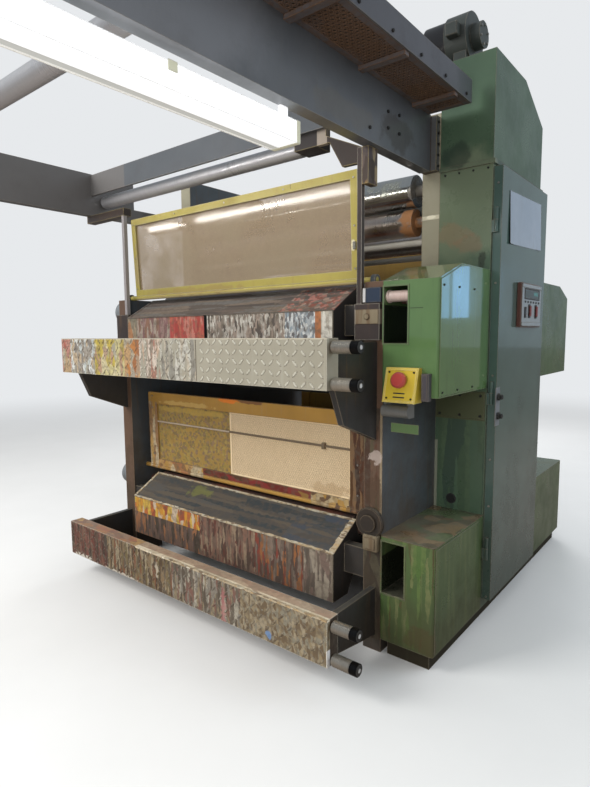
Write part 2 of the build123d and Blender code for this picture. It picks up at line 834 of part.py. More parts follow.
# Hanger that carries the right end of the rear web roller
bridge_roller_z = bridge_floor + bridge_roller_rise
rear_roller_y = -frame_arm_reach + rear_roller_setback
front_roller_y = -bridge_front + front_roller_setback
hanger_end = roller_hanger_start + roller_hanger_width
hanger_back = -frame_arm_reach + roller_hanger_depth
toe_end = post_inner + post_size + post_bracket_width
toe_floor = bridge_floor - roller_hanger_toe
hanger_outline = [
    (roller_hanger_start, bridge_floor + roller_hanger_low),
    (roller_hanger_start, bridge_floor + roller_hanger_high),
    (hanger_end + beam_flange, bridge_floor + roller_hanger_high),
    (hanger_end + beam_flange, bridge_roller_z),
    (frame_inner, bridge_floor),
    (toe_end, bridge_floor),
    (toe_end, toe_floor),
    (toe_end - roller_hanger_run, toe_floor),
    (hanger_end + post_bracket_depth, bridge_floor + roller_hanger_low),
]
hanger = front_profile(hanger_outline, -frame_arm_reach, -frame_arm_reach + roller_hanger_plate)
hanger += block(
    roller_hanger_start, hanger_end, -frame_arm_reach, hanger_back,
    bridge_floor + roller_hanger_low, bridge_floor + roller_hanger_high
)
hanger -= rod(
    rear_roller_y, bridge_roller_z, bridge_roller_journal + running_clearance,
    roller_hanger_start - 1, roller_hanger_start + journal_depth
)
nodes["bridge_brackets"] = bridge_brackets + hanger


def channel_beam(web, flange, y0, y1):
    """A channel with its web face at web and its flanges out to flange."""
    side = 1.0 if flange > web else -1.0
    beam = block(min(web, flange), max(web, flange), y0, y1, bridge_floor, beam_top)
    cut = sorted((web + side * beam_wall, flange + side))
    return beam - block(cut[0], cut[1], y0, y1, bridge_floor + beam_wall, beam_top - beam_wall)


# Two channel beams with bushes for the web rollers
right_beam = channel_beam(right_web, frame_inner, -bridge_front, beam_back)
left_beam = channel_beam(left_web, left_edge, -bridge_front, beam_back)
left_beam -= block(
    left_edge - 1, left_web + 1, -left_beam_step, beam_back + 1, bridge_floor + left_beam_low, beam_top + 1
)
bush_end = right_web - beam_wall
bush_bore = bridge_roller_journal + running_clearance
right_beam += rod(front_roller_y, bridge_roller_z, bridge_bush_radius, frame_inner, bush_end)
right_beam -= rod(
    front_roller_y, bridge_roller_z, bush_bore, frame_inner - 1, bush_end - journal_end_gap
)
for y in (rear_roller_y, front_roller_y):
    left_beam += rod(y, bridge_roller_z, bridge_bush_radius, left_edge, left_web - beam_wall)
    left_beam -= rod(y, bridge_roller_z, bush_bore, left_edge + journal_end_gap, left_web + 1)
nodes["bridge_beams"] = right_beam + left_beam
half = bridge_tie_size / 2
tie_top = beam_top - beam_wall
bridge_tie_y = -bridge_front + bridge_tie_setback
front_tie = block(
    left_web, bush_end, bridge_tie_y - half, bridge_tie_y + half, tie_top - bridge_tie_size, tie_top
)
tie_plate = block(
    left_web, bush_end, -frame_arm_reach - bridge_plate_thickness, -frame_arm_reach,
    tie_top - bridge_plate_height, tie_top
)
nodes["bridge_cross_ties"] = front_tie + tie_plate
roller_start = left_web + bridge_roller_end_gap
nodes["bridge_roller_rear"] = roller(
    rear_roller_y, bridge_roller_z, bridge_roller_radius, bridge_roller_journal,
    (roller_start, roller_hanger_start - roller_hanger_gap),
    (left_edge + beam_wall, roller_hanger_start + journal_depth - journal_end_gap)
)
nodes["bridge_roller_front"] = roller(
    front_roller_y, bridge_roller_z, bridge_roller_radius, bridge_roller_journal,
    (roller_start, frame_inner - bridge_roller_end_gap),
    (left_edge + beam_wall, bush_end - journal_end_gap - 2)
)

# Walkway along the right beam
walkway_outer = right_web + walkway_width
walkway_back = beam_back - walkway_gap
nodes["walkway_plate"] = block(
    right_web, walkway_outer, -bridge_front, walkway_back, beam_top - walkway_plate, beam_top
)
nodes["walkway_rail"] = block(
    walkway_outer, walkway_outer + walkway_rail_wall, -bridge_front, walkway_back,
    beam_top - walkway_plate, beam_top - walkway_plate + walkway_rail_height
)
lamp_start = frame_inner - lamp_offset
lamp_front = -bridge_front + lamp_front_gap
lamp_top = bridge_floor - lamp_drop
lamp = block(
    lamp_start, lamp_start + lamp_width, lamp_front, lamp_front + lamp_length, lamp_top - lamp_height, lamp_top
)
for y in (
    lamp_front + lamp_hanger_inset,
    lamp_front + lamp_length - lamp_hanger_inset - lamp_hanger_length,
):
    lamp += block(
        frame_inner, lamp_start + lamp_width, y, y + lamp_hanger_length, lamp_top, bridge_floor
    )
nodes["lamp_fitting"] = lamp

# The origin is the middle of the footprint, on the floor
panel_face = door_face + door_thickness + panel_depth
middle_x = (panel_face + left_edge) / 2
middle_y = (bar_front - bridge_front) / 2
to_origin = Pos(-middle_x, -middle_y, 0)

os.makedirs("parts", exist_ok=True)
for name, part in nodes.items():
    export_step(to_origin * part, os.path.join("parts", name + ".step"))
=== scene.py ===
"""Looks of a four deck stack press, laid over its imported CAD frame."""
import logging
import math
from dataclasses import dataclass, field
from enum import Enum
from typing import Iterable, Self, Sequence

import bmesh
import bpy
from mathutils import Matrix, Vector


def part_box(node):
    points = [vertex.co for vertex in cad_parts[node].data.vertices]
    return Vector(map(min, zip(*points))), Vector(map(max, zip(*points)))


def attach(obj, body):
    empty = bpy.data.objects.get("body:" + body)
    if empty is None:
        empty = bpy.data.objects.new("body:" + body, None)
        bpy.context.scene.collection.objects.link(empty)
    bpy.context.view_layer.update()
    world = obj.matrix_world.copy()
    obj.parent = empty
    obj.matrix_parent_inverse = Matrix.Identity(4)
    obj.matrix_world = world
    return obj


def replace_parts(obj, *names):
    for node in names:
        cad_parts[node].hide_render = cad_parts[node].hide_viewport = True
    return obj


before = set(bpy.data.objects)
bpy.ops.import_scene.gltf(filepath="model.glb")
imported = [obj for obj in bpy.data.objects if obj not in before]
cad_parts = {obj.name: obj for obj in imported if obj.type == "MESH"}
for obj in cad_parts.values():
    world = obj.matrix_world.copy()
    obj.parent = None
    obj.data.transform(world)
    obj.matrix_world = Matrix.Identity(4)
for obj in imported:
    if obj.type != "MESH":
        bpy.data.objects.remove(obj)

LOG = logging.getLogger("press")
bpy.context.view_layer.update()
MIDDLE_X = 26.75
MIDDLE_Y = -684.0
DECK_PITCH = 1197.0
DECKS = (("lower", 0.0), ("upper", DECK_PITCH))
# The marks of turning lie close along X, and runs of dirt are drawn out along Z.
TURNING_MARKS = (900.0, 6.0, 6.0)
RUN_SQUEEZE = (34.0, 34.0, 2.6)
EDGE_REACH = 0.006
EDGE_SAMPLES = 3
SHARP_EDGE = 0.6
SMOOTH_BELOW = math.radians(32)
SMOOTH_SIDES = 8
HEAD_SEED = 11
GUARD_PITCH = 15

# Colours are thousandths of full light and places are machine millimetres, unless a docstring says otherwise.
Colour = tuple[float, float, float]
Point = tuple[float, float, float]
Outline = Sequence[tuple[float, float]]
Tree = bpy.types.NodeTree
Node = bpy.types.Node
Sockets = bpy.types.bpy_prop_collection
Material = bpy.types.Material


def rgba(colour: Colour) -> tuple[float, float, float, float]:
    """A colour as Blender takes it."""
    red, green, blue = (value / 1000.0 for value in colour)
    return red, green, blue, 1.0


def at(x: float, y: float, z: float) -> Vector:
    """Turns a place on the machine into the row frame.

    Args:
        x, y, z: millimetres from the middle of the side frames on the floor.

    Returns:
        The same place in metres, in the row frame.
    """
    return Vector(((x - MIDDLE_X) / 1000.0, (y - MIDDLE_Y) / 1000.0, z / 1000.0))


def evenly(start: float, end: float, count: int) -> list[float]:
    """Numbers from start to end."""
    return [start + (end - start) * index / (count - 1) for index in range(count)]


def facing(normal: Vector) -> tuple[float, float, float]:
    """Euler angles that turn +Z to the normal."""
    return tuple(normal.normalized().to_track_quat("Z", "Y").to_euler())


def honeycomb(x0: float, x1: float, y0: float, y1: float, pitch: float) -> list[tuple[float, float]]:
    """Cell centres of a honeycomb over a field.

    Args:
        x0, x1, y0, y1: the field in millimetres.
        pitch: distance between centres along a row.

    Returns:
        The centres, row by row.
    """
    cell = pitch / math.sqrt(3.0)
    centres = []
    for row in range(int((y1 - y0) / (1.5 * cell)) + 1):
        shift = pitch / 2 if row % 2 else 0.0
        count = int((x1 - x0 - shift) / pitch)
        centres += [(x0 + shift + column * pitch, y0 + row * 1.5 * cell) for column in range(count + 1)]
    return centres


class Wear(Enum):
    """How worn a painted finish is: (edge mask strength, grime strength)."""

    NONE = (0.0, 0.1)
    LIGHT = (0.25, 0.25)
    USED = (0.55, 0.5)
    HEAVY = (0.9, 0.8)


class Axis3(Enum):
    """Directions that a round piece may lie along."""

    X = (1.0, 0.0, 0.0)
    Y = (0.0, 1.0, 0.0)
    Z = (0.0, 0.0, 1.0)
    LEFT = (-1.0, 0.0, 0.0)


class Graph:
    """Adds nodes to one shader or geometry tree and links them."""

    def __init__(self, tree: Tree) -> None:
        """Keeps the tree."""
        self.tree = tree

    @classmethod
    def group_tree(cls, kind: str, name: str, inputs: dict[str, object], outputs: dict[str, str]) -> tuple:
        """Opens a new node group.

        Args:
            kind: Shader or Geometry.
            name: the group's name.
            inputs: each socket's default, or the name of its type.
            outputs: the name of each output's type.

        Returns:
            The tree, its graph, its inputs and its outputs.
        """
        kinds = {int: "Int", float: "Float", tuple: "Vector"}
        tree = bpy.data.node_groups.new(name, kind + "NodeTree")
        for label, value in inputs.items():
            typed = value if isinstance(value, str) else kinds[type(value)]
            socket = tree.interface.new_socket(label, in_out="INPUT", socket_type="NodeSocket" + typed)
            if not isinstance(value, str):
                socket.default_value = value
        for label, typed in outputs.items():
            tree.interface.new_socket(label, in_out="OUTPUT", socket_type="NodeSocket" + typed)
        graph = cls(tree)
        return tree, graph, graph.add("NodeGroupInput").outputs, graph.add("NodeGroupOutput").inputs

    def feed(self, socket: bpy.types.NodeSocket, value: object) -> None:
        """Links a socket into another, or sets a constant.

        Args:
            socket: the input.
            value: a socket, a constant, or None to leave the input alone.
        """
        if isinstance(value, bpy.types.NodeSocket):
            self.tree.links.new(value, socket)
        elif value is not None:
            socket.default_value = value

    def fill(self, node: Node, inputs: dict[str | int, object]) -> None:
        """Feeds inputs of a node by name or number."""
        for key, value in inputs.items():
            self.feed(node.inputs[key], value)

    def add(self, kind: str, inputs: dict[str | int, object] | None = None, **values: object) -> Node:
        """Adds a node.

        Args:
            kind: the node's type.
            inputs: what its inputs get, by name or number.
            values: its plain properties.

        Returns:
            The node.
        """
        node = self.tree.nodes.new(kind)
        for name, value in values.items():
            setattr(node, name, value)
        self.fill(node, inputs or {})
        return node

    def math(self, operation: str, a: object, b: object = None, clamp: bool = False) -> object:
        """The result of a Math node on a and b."""
        return self.add("ShaderNodeMath", {0: a, 1: b}, operation=operation, use_clamp=clamp).outputs[0]

    def times(self, a: object, b: object) -> object:
        """The product of a and b."""
        return self.math("MULTIPLY", a, b)

    def plus(self, a: object, b: object, clamp: bool = False) -> object:
        """The sum of a and b."""
        return self.math("ADD", a, b, clamp)

    def minus(self, a: object, b: object, clamp: bool = False) -> object:
        """What a is more than b."""
        return self.math("SUBTRACT", a, b, clamp)

    def vector(self, operation: str, a: object, b: object = None) -> object:
        """The vector that a Vector Math node makes of a and b."""
        return self.add("ShaderNodeVectorMath", {0: a, 1: b}, operation=operation).outputs[0]

    def measure(self, operation: str, a: object, b: object = None) -> object:
        """The number that a Vector Math node makes of a and b."""
        return self.add("ShaderNodeVectorMath", {0: a, 1: b}, operation=operation).outputs["Value"]

    def split(self, vector: object) -> Sockets:
        """The three numbers of a vector."""
        return self.add("ShaderNodeSeparateXYZ", {0: vector}).outputs

    def joined(self, x: object, y: object, z: object) -> object:
        """A vector of three numbers."""
        return self.add("ShaderNodeCombineXYZ", {0: x, 1: y, 2: z}).outputs[0]

    def mix(self, factor: object, a: object, b: object) -> object:
        """Mixes two colours.

        Args:
            factor: how much of b shows.
            a, b: sockets, or colours as three numbers.

        Returns:
            The mixed colour.
        """
        a, b = (rgba(colour) if isinstance(colour, tuple) else colour for colour in (a, b))
        return self.add("ShaderNodeMix", {0: factor, 6: a, 7: b}, data_type="RGBA").outputs[2]

    def span(self, value: object, low: object, high: object, start: float = 0.0, end: float = 1.0) -> object:
        """Maps a value smoothly from low..high to start..end."""
        inputs = {0: value, 1: low, 2: high, 3: start, 4: end}
        return self.add("ShaderNodeMapRange", inputs, interpolation_type="SMOOTHSTEP").outputs[0]

    def noise(self, vector: object, scale: object, detail: float = 3.0, rough: float = 0.55) -> object:
        """The value of a noise texture."""
        inputs = {"Vector": vector, "Scale": scale, "Detail": detail, "Roughness": rough}
        return self.add("ShaderNodeTexNoise", inputs).outputs[0]

    def group(self, tree: Tree, **inputs: object) -> Sockets:
        """The outputs of a group that is fed by its sockets' names."""
        return self.add("ShaderNodeGroup", inputs, node_tree=tree).outputs

    def place(self) -> object:
        """Object coordinates, which are metres in the row frame."""
        return self.add("ShaderNodeTexCoord").outputs["Object"]

    def normal(self) -> object:
        """The surface's normal."""
        return self.add("ShaderNodeNewGeometry").outputs["Normal"]


def new_material(name: str) -> tuple[Material, Graph, Node]:
    """Opens a material.

    Args:
        name: its name.

    Returns:
        The material, its graph and its Principled BSDF.
    """
    material = bpy.data.materials.new(name)
    material.use_nodes = True
    return material, Graph(material.node_tree), material.node_tree.nodes["Principled BSDF"]


class Effects:
    """Shader groups that the finishes share. Their outputs are masks only."""

    def __init__(self) -> None:
        """Builds the groups."""
        self.edge = self._edge_wear()
        self.runs = self._runs()
        self.grime = self._grime()
        self.splash = self._spot()
        self.window = self._window()
        self.streaks = self._streaks()

    @staticmethod
    def _open(name: str, inputs: dict[str, object], *outputs: str) -> tuple:
        """A new shader group with values as its outputs."""
        return Graph.group_tree("Shader", name, inputs, dict.fromkeys(outputs, "Float"))

    def within(self, g: Graph, low: Point, high: Point) -> object:
        """Mask of a box between two machine corners."""
        return g.group(self.window, Low=tuple(at(*low)), High=tuple(at(*high)))[0]

    def _edge_wear(self) -> Tree:
        """Mask of chipped paint along edges.

        Returns:
            The group.
        """
        tree, g, given, result = self._open("EdgeWear", {"Amount": 0.5}, "Mask")
        bevel = g.add("ShaderNodeBevel", {"Radius": EDGE_REACH}, samples=EDGE_SAMPLES)
        bend = g.minus(1.0, g.measure("DOT_PRODUCT", bevel.outputs[0], g.normal()))
        broken = g.noise(g.place(), 38.0, 5.0, 0.7)
        low = g.minus(0.9, g.times(given["Amount"], 0.5))
        chips = g.span(g.plus(broken, g.times(bend, 2.0)), low, g.plus(low, 0.12))
        g.feed(result["Mask"], g.times(chips, g.span(bend, 0.008, 0.05)))
        return tree

    def _runs(self) -> Tree:
        """Mask of vertical drips and runs.

        Returns:
            The group.
        """
        tree, g, given, result = self._open("Runs", {"Density": 0.5}, "Mask", "Fine")
        squeezed = g.vector("MULTIPLY", g.place(), RUN_SQUEEZE)
        low = g.minus(0.78, g.times(given["Density"], 0.4))
        g.feed(result["Mask"], g.span(g.noise(squeezed, 1.0, 3.0, 0.5), low, g.plus(low, 0.16)))
        g.feed(result["Fine"], g.span(g.noise(squeezed, 3.1, 2.0, 0.5), 0.5, 0.75))
        return tree

    def _grime(self) -> Tree:
        """Masks of dirt low down, of patches and of dust on top.

        Returns:
            The group.
        """
        tree, g, given, result = self._open("Grime", {"Height": 0.5, "Amount": 0.5}, "Mask", "Patch", "Dust")
        place = g.place()
        patch = g.noise(place, 5.5, 6.0, 0.62)
        low = g.span(g.split(place)[2], given["Height"], 0.0)
        total = g.plus(g.times(low, 0.5), g.times(patch, 0.9))
        g.feed(result["Mask"], g.times(g.span(total, 0.42, 0.95), given["Amount"]))
        g.feed(result["Patch"], g.span(patch, 0.35, 0.68))
        up = g.split(g.normal())[2]
        g.feed(result["Dust"], g.times(g.span(up, 0.6, 0.95), g.span(patch, 0.2, 0.7)))
        return tree

    def _spot(self) -> Tree:
        """Mask of one ragged spot round a point: a stain or a painted sheen.

        Returns:
            The group.
        """
        inputs = {"Centre": (0.0, 0.0, 0.0), "Reach": (0.1, 0.1, 0.1), "Ragged": 0.6, "Grain": 14.0}
        tree, g, given, result = self._open("Spot", inputs, "Mask")
        place = g.place()
        far = g.measure("LENGTH", g.vector("DIVIDE", g.vector("SUBTRACT", place, given["Centre"]), given["Reach"]))
        rough = g.noise(place, given["Grain"], 5.0, 0.65)
        edge = g.times(g.minus(rough, 0.5), given["Ragged"])
        g.feed(result["Mask"], g.span(g.plus(far, g.times(edge, 3.0)), 1.05, 0.7))
        return tree

    def _streaks(self) -> Tree:
        """Values that stay the same within each ragged streak of ink.

        Returns:
            The group.
        """
        inputs = {"Squeeze": (34.0, 34.0, 4.0), "Seed": 0.0}
        tree, g, given, result = self._open("Streaks", inputs, "Pick", "Cover")
        place = g.place()
        stirred = g.add("ShaderNodeTexNoise", {"Vector": place, "Scale": 26.0, "Detail": 3.0}).outputs["Color"]
        push = g.add("ShaderNodeVectorMath", {0: g.vector("SUBTRACT", stirred, (0.5, 0.5, 0.5)), "Scale": 0.018},
                     operation="SCALE").outputs[0]
        squeezed = g.vector("MULTIPLY", g.vector("ADD", place, push), given["Squeeze"])
        seed = g.joined(given["Seed"], given["Seed"], given["Seed"])
        cells = g.add("ShaderNodeTexVoronoi", {"Vector": g.vector("ADD", squeezed, seed), "Scale": 1.0}, feature="F1")
        apart = g.add("ShaderNodeSeparateColor", {0: cells.outputs["Color"]}).outputs
        g.feed(result["Pick"], apart[0])
        g.feed(result["Cover"], apart[1])
        return tree

    def _window(self) -> Tree:
        """Mask of an upright box in space, with square edges.

        Returns:
            The group.
        """
        inputs = {"Low": (0.0, 0.0, 0.0), "High": (1.0, 1.0, 1.0)}
        tree, g, given, result = self._open("Window", inputs, "Mask")
        place = g.place()
        above = g.vector("SUBTRACT", place, given["Low"])
        x, y, z = g.split(g.vector("MINIMUM", above, g.vector("SUBTRACT", given["High"], place)))
        least = g.math("MINIMUM", g.math("MINIMUM", x, y), z)
        g.feed(result["Mask"], g.math("GREATER_THAN", least, 0.0))
        return tree


@dataclass(frozen=True)
class StainOrSheen:
    """One stain, or one painted sheen or highlight: its middle and reach in machine millimetres."""

    centre: Point
    reach: Point
    colour: Colour
    strength: float = 0.9
    ragged: float = 0.6
    grain: float = 14.0

    def mask(self, g: Graph, effects: Effects) -> object:
        """Where the stain or painted sheen is.

        Args:
            g: the material's graph.
            effects: the shared shader groups.

        Returns:
            The mask.
        """
        reach = tuple(value / 1000.0 for value in self.reach)
        return g.group(effects.splash, Centre=tuple(at(*self.centre)), Reach=reach, Ragged=self.ragged,
                       Grain=self.grain)[0]


@dataclass(frozen=True)
class Band:
    """A square-edged patch of another colour, in machine millimetres."""

    low: Point
    high: Point
    colour: Colour
    strength: float = 1.0


@dataclass(frozen=True)
class Mess:
    """Dried ink in streaks inside a box, in machine millimetres."""

    low: Point
    high: Point
    inks: tuple[Colour, ...]
    cover: float = 0.85
    squeeze: Point = (38.0, 38.0, 5.0)
    seed: float = 0.0
    soil: Colour = (100, 80, 60)

    def lay(self, g: Graph, effects: Effects) -> tuple[object, object]:
        """Adds the streaks.

        Args:
            g: the material's graph.
            effects: the shared shader groups.

        Returns:
            The streaks' colour and where they are.
        """
        inside = effects.within(g, self.low, self.high)
        streaks = g.group(effects.streaks, Squeeze=self.squeeze, Seed=self.seed)
        ramp = g.add("ShaderNodeValToRGB", {0: streaks["Pick"]})
        stops = ramp.color_ramp.elements
        ramp.color_ramp.interpolation = "CONSTANT"
        while len(stops) < len(self.inks):
            stops.new(1.0)
        for index, ink in enumerate(self.inks):
            stops[index].position = index / len(self.inks)
            stops[index].color = rgba(ink)
        soiled = g.span(g.noise(g.place(), 34.0, 5.0, 0.7), 0.42, 0.68, 0.0, 0.62)
        low = 1.0 - self.cover
        amount = g.times(inside, g.span(streaks["Cover"], low - 0.12, low + 0.02))
        return g.mix(soiled, ramp.outputs[0], self.soil), amount


def across(y: tuple[float, float], z: tuple[float, float], rows: Sequence[tuple]) -> list[Mess]:
    """Streaks side by side, with the same reach in Y and Z.

    Args:
        y, z: their reach.
        rows: low X, high X, inks and what else a mess takes, for each.

    Returns:
        The messes in order.
    """
    return [Mess((x0, y[0], z[0]), (x1, y[1], z[1]), *rest) for x0, x1, *rest in rows]


@dataclass(frozen=True)
class Finish:
    """A finish with marks laid on: bands first, then streaks of ink, then stains and painted sheens."""

    name: str
    base: Colour
    shade: Colour
    bands: tuple[Band, ...] = field(default=(), kw_only=True)
    messes: tuple[Mess, ...] = field(default=(), kw_only=True)
    stains_and_sheens: tuple[StainOrSheen, ...] = field(default=(), kw_only=True)

    def build(self, effects: Effects) -> Material:
        """Makes the material, in each kind of finish."""
        raise NotImplementedError

    def lay_marks(self, g: Graph, effects: Effects, colour: object) -> tuple[object, object]:
        """Lays the marks over a colour.

        Args:
            g: the material's graph.
            effects: the shared shader groups.
            colour: the colour so far.

        Returns:
            The new colour, and how much of the surface the streaks, stains and painted sheens cover.
        """
        cover: object = 0.0
        for band in self.bands:
            mask = effects.within(g, band.low, band.high)
            colour = g.mix(g.times(mask, band.strength), colour, band.colour)
        for mess in self.messes:
            inked, amount = mess.lay(g, effects)
            colour = g.mix(amount, colour, inked)
            cover = g.math("MAXIMUM", cover, amount)
        for stain_or_sheen in self.stains_and_sheens:
            amount = g.times(stain_or_sheen.mask(g, effects), stain_or_sheen.strength)
            colour = g.mix(amount, colour, stain_or_sheen.colour)
            cover = g.math("MAXIMUM", cover, amount)
        return colour, cover


@dataclass(frozen=True)
class Paint(Finish):
    """Gloss or oily machine paint with chips, grime and drips: run is their colour, runs their strength."""

    roughness: float = 0.3
    wear: Wear = Wear.USED
    chip: Colour = (160, 140, 110)
    run: Colour = (120, 200, 100)
    runs: float = 0.3
    run_density: float = 0.5
    grime: Colour = (50, 40, 30)
    grime_height: float = 0.5
    dust: Colour = (260, 250, 200)
    dust_amount: float = 0.35
    metallic: float = 0.0
    coat: float = 0.25
    coat_roughness: float = 0.12
    uneven: float = 0.18
    bump: float = 0.15
    glow: float = 0.0

    def build(self, effects: Effects) -> Material:
        """Makes the material.

        Args:
            effects: the shared shader groups.

        Returns:
            The finished material.
        """
        material, g, shader = new_material(self.name)
        edge_amount, grime_amount = self.wear.value
        place = g.place()
        colour = g.mix(g.span(g.noise(place, 2.3, 4.0, 0.6), 0.3, 0.7), self.base, self.shade)
        runs = g.group(effects.runs, Density=self.run_density)
        colour = g.mix(g.times(runs["Mask"], self.runs), colour, self.run)
        colour = g.mix(g.times(runs["Fine"], self.runs * 0.5), colour, self.shade)
        colour, cover = self.lay_marks(g, effects, colour)
        dirt = g.group(effects.grime, Height=self.grime_height, Amount=grime_amount)
        colour = g.mix(dirt["Mask"], colour, self.grime)
        colour = g.mix(g.times(dirt["Dust"], self.dust_amount), colour, self.dust)
        chips = g.group(effects.edge, Amount=edge_amount)[0]
        colour = g.mix(chips, colour, self.chip)
        rough = g.plus(g.plus(g.times(dirt["Patch"], self.uneven), self.roughness), g.times(chips, 0.25))
        rough = g.plus(rough, g.times(dirt["Mask"], 0.25), clamp=True)
        relief = g.plus(g.times(g.noise(place, 260.0, 2.0, 0.5), 0.35), g.times(runs["Mask"], 0.8))
        relief = g.plus(g.minus(relief, g.times(chips, 0.8)), g.times(cover, 0.7))
        bump = g.add("ShaderNodeBump", {"Strength": self.bump, "Distance": 0.002, "Height": relief})
        g.fill(shader, {
            "Base Color": colour, "Roughness": rough, "Metallic": self.metallic, "Coat Weight": self.coat,
            "Coat Roughness": self.coat_roughness, "Normal": bump.outputs[0],
        })
        if self.glow > 0.0:
            g.fill(shader, {"Emission Color": colour, "Emission Strength": self.glow})
        return material


@dataclass(frozen=True)
class Metal(Finish):
    """Bare, ground or plated metal with turning marks and ink haze."""

    roughness: float = 0.15
    grain: float = 0.1
    haze: Colour = (300, 240, 180)
    hazed: float = 0.3
    metallic: float = 1.0

    def build(self, effects: Effects) -> Material:
        """Makes the material.

        Args:
            effects: the shared shader groups.

        Returns:
            The finished material.
        """
        material, g, shader = new_material(self.name)
        place = g.place()
        # Each number is squeezed by itself: with one Vector Math node in their place, Cycles renders the trays black.
        squeezed = g.joined(*(g.times(part, pull) for part, pull in zip(g.split(place), TURNING_MARKS)))
        turned = g.noise(squeezed, 1.0, 2.0, 0.6)
        patch = g.group(effects.grime, Height=0.2, Amount=1.0)["Patch"]
        colour = g.mix(g.span(turned, 0.3, 0.7), self.base, self.shade)
        haze = g.times(g.span(g.noise(place, 3.2, 5.0, 0.6), 0.4, 0.75), self.hazed)
        colour, laid = self.lay_marks(g, effects, g.mix(haze, colour, self.haze))
        cover = g.math("MAXIMUM", haze, laid)
        rough = g.plus(g.plus(g.times(turned, self.grain), self.roughness), g.times(cover, 0.35))
        relief = g.plus(turned, g.times(laid, 3.0))
        bump = g.add("ShaderNodeBump", {"Strength": 0.06, "Distance": 0.0006, "Height": relief})
        g.fill(shader, {
            "Base Color": colour, "Metallic": g.times(g.minus(1.0, cover, clamp=True), self.metallic),
            "Roughness": g.plus(rough, g.times(patch, 0.08), clamp=True), "Normal": bump.outputs[0],
        })
        return material


@dataclass(frozen=True)
class Clear(Finish):
    """Tinted clear sheet, its shade being a film of dust, scratches and dried ink mist."""

    body: float = 0.35
    mist: float = 0.4

    def build(self, effects: Effects) -> Material:
        """Makes the material.

        Args:
            effects: the shared shader groups.

        Returns:
            The finished material.
        """
        material, g, shader = new_material(self.name)
        place = g.place()
        dots = g.span(g.noise(place, 160.0, 3.0, 0.7), 0.55, 0.72)
        clouds = g.span(g.noise(place, 3.0, 5.0, 0.65), 0.35, 0.7)
        mist = g.times(g.plus(g.times(dots, 0.5), clouds), self.mist)
        g.fill(shader, {
            "Base Color": g.mix(clouds, self.base, self.shade), "Alpha": g.plus(mist, self.body, clamp=True),
            "Roughness": g.plus(g.times(clouds, 0.06), 0.05),
        })
        return material


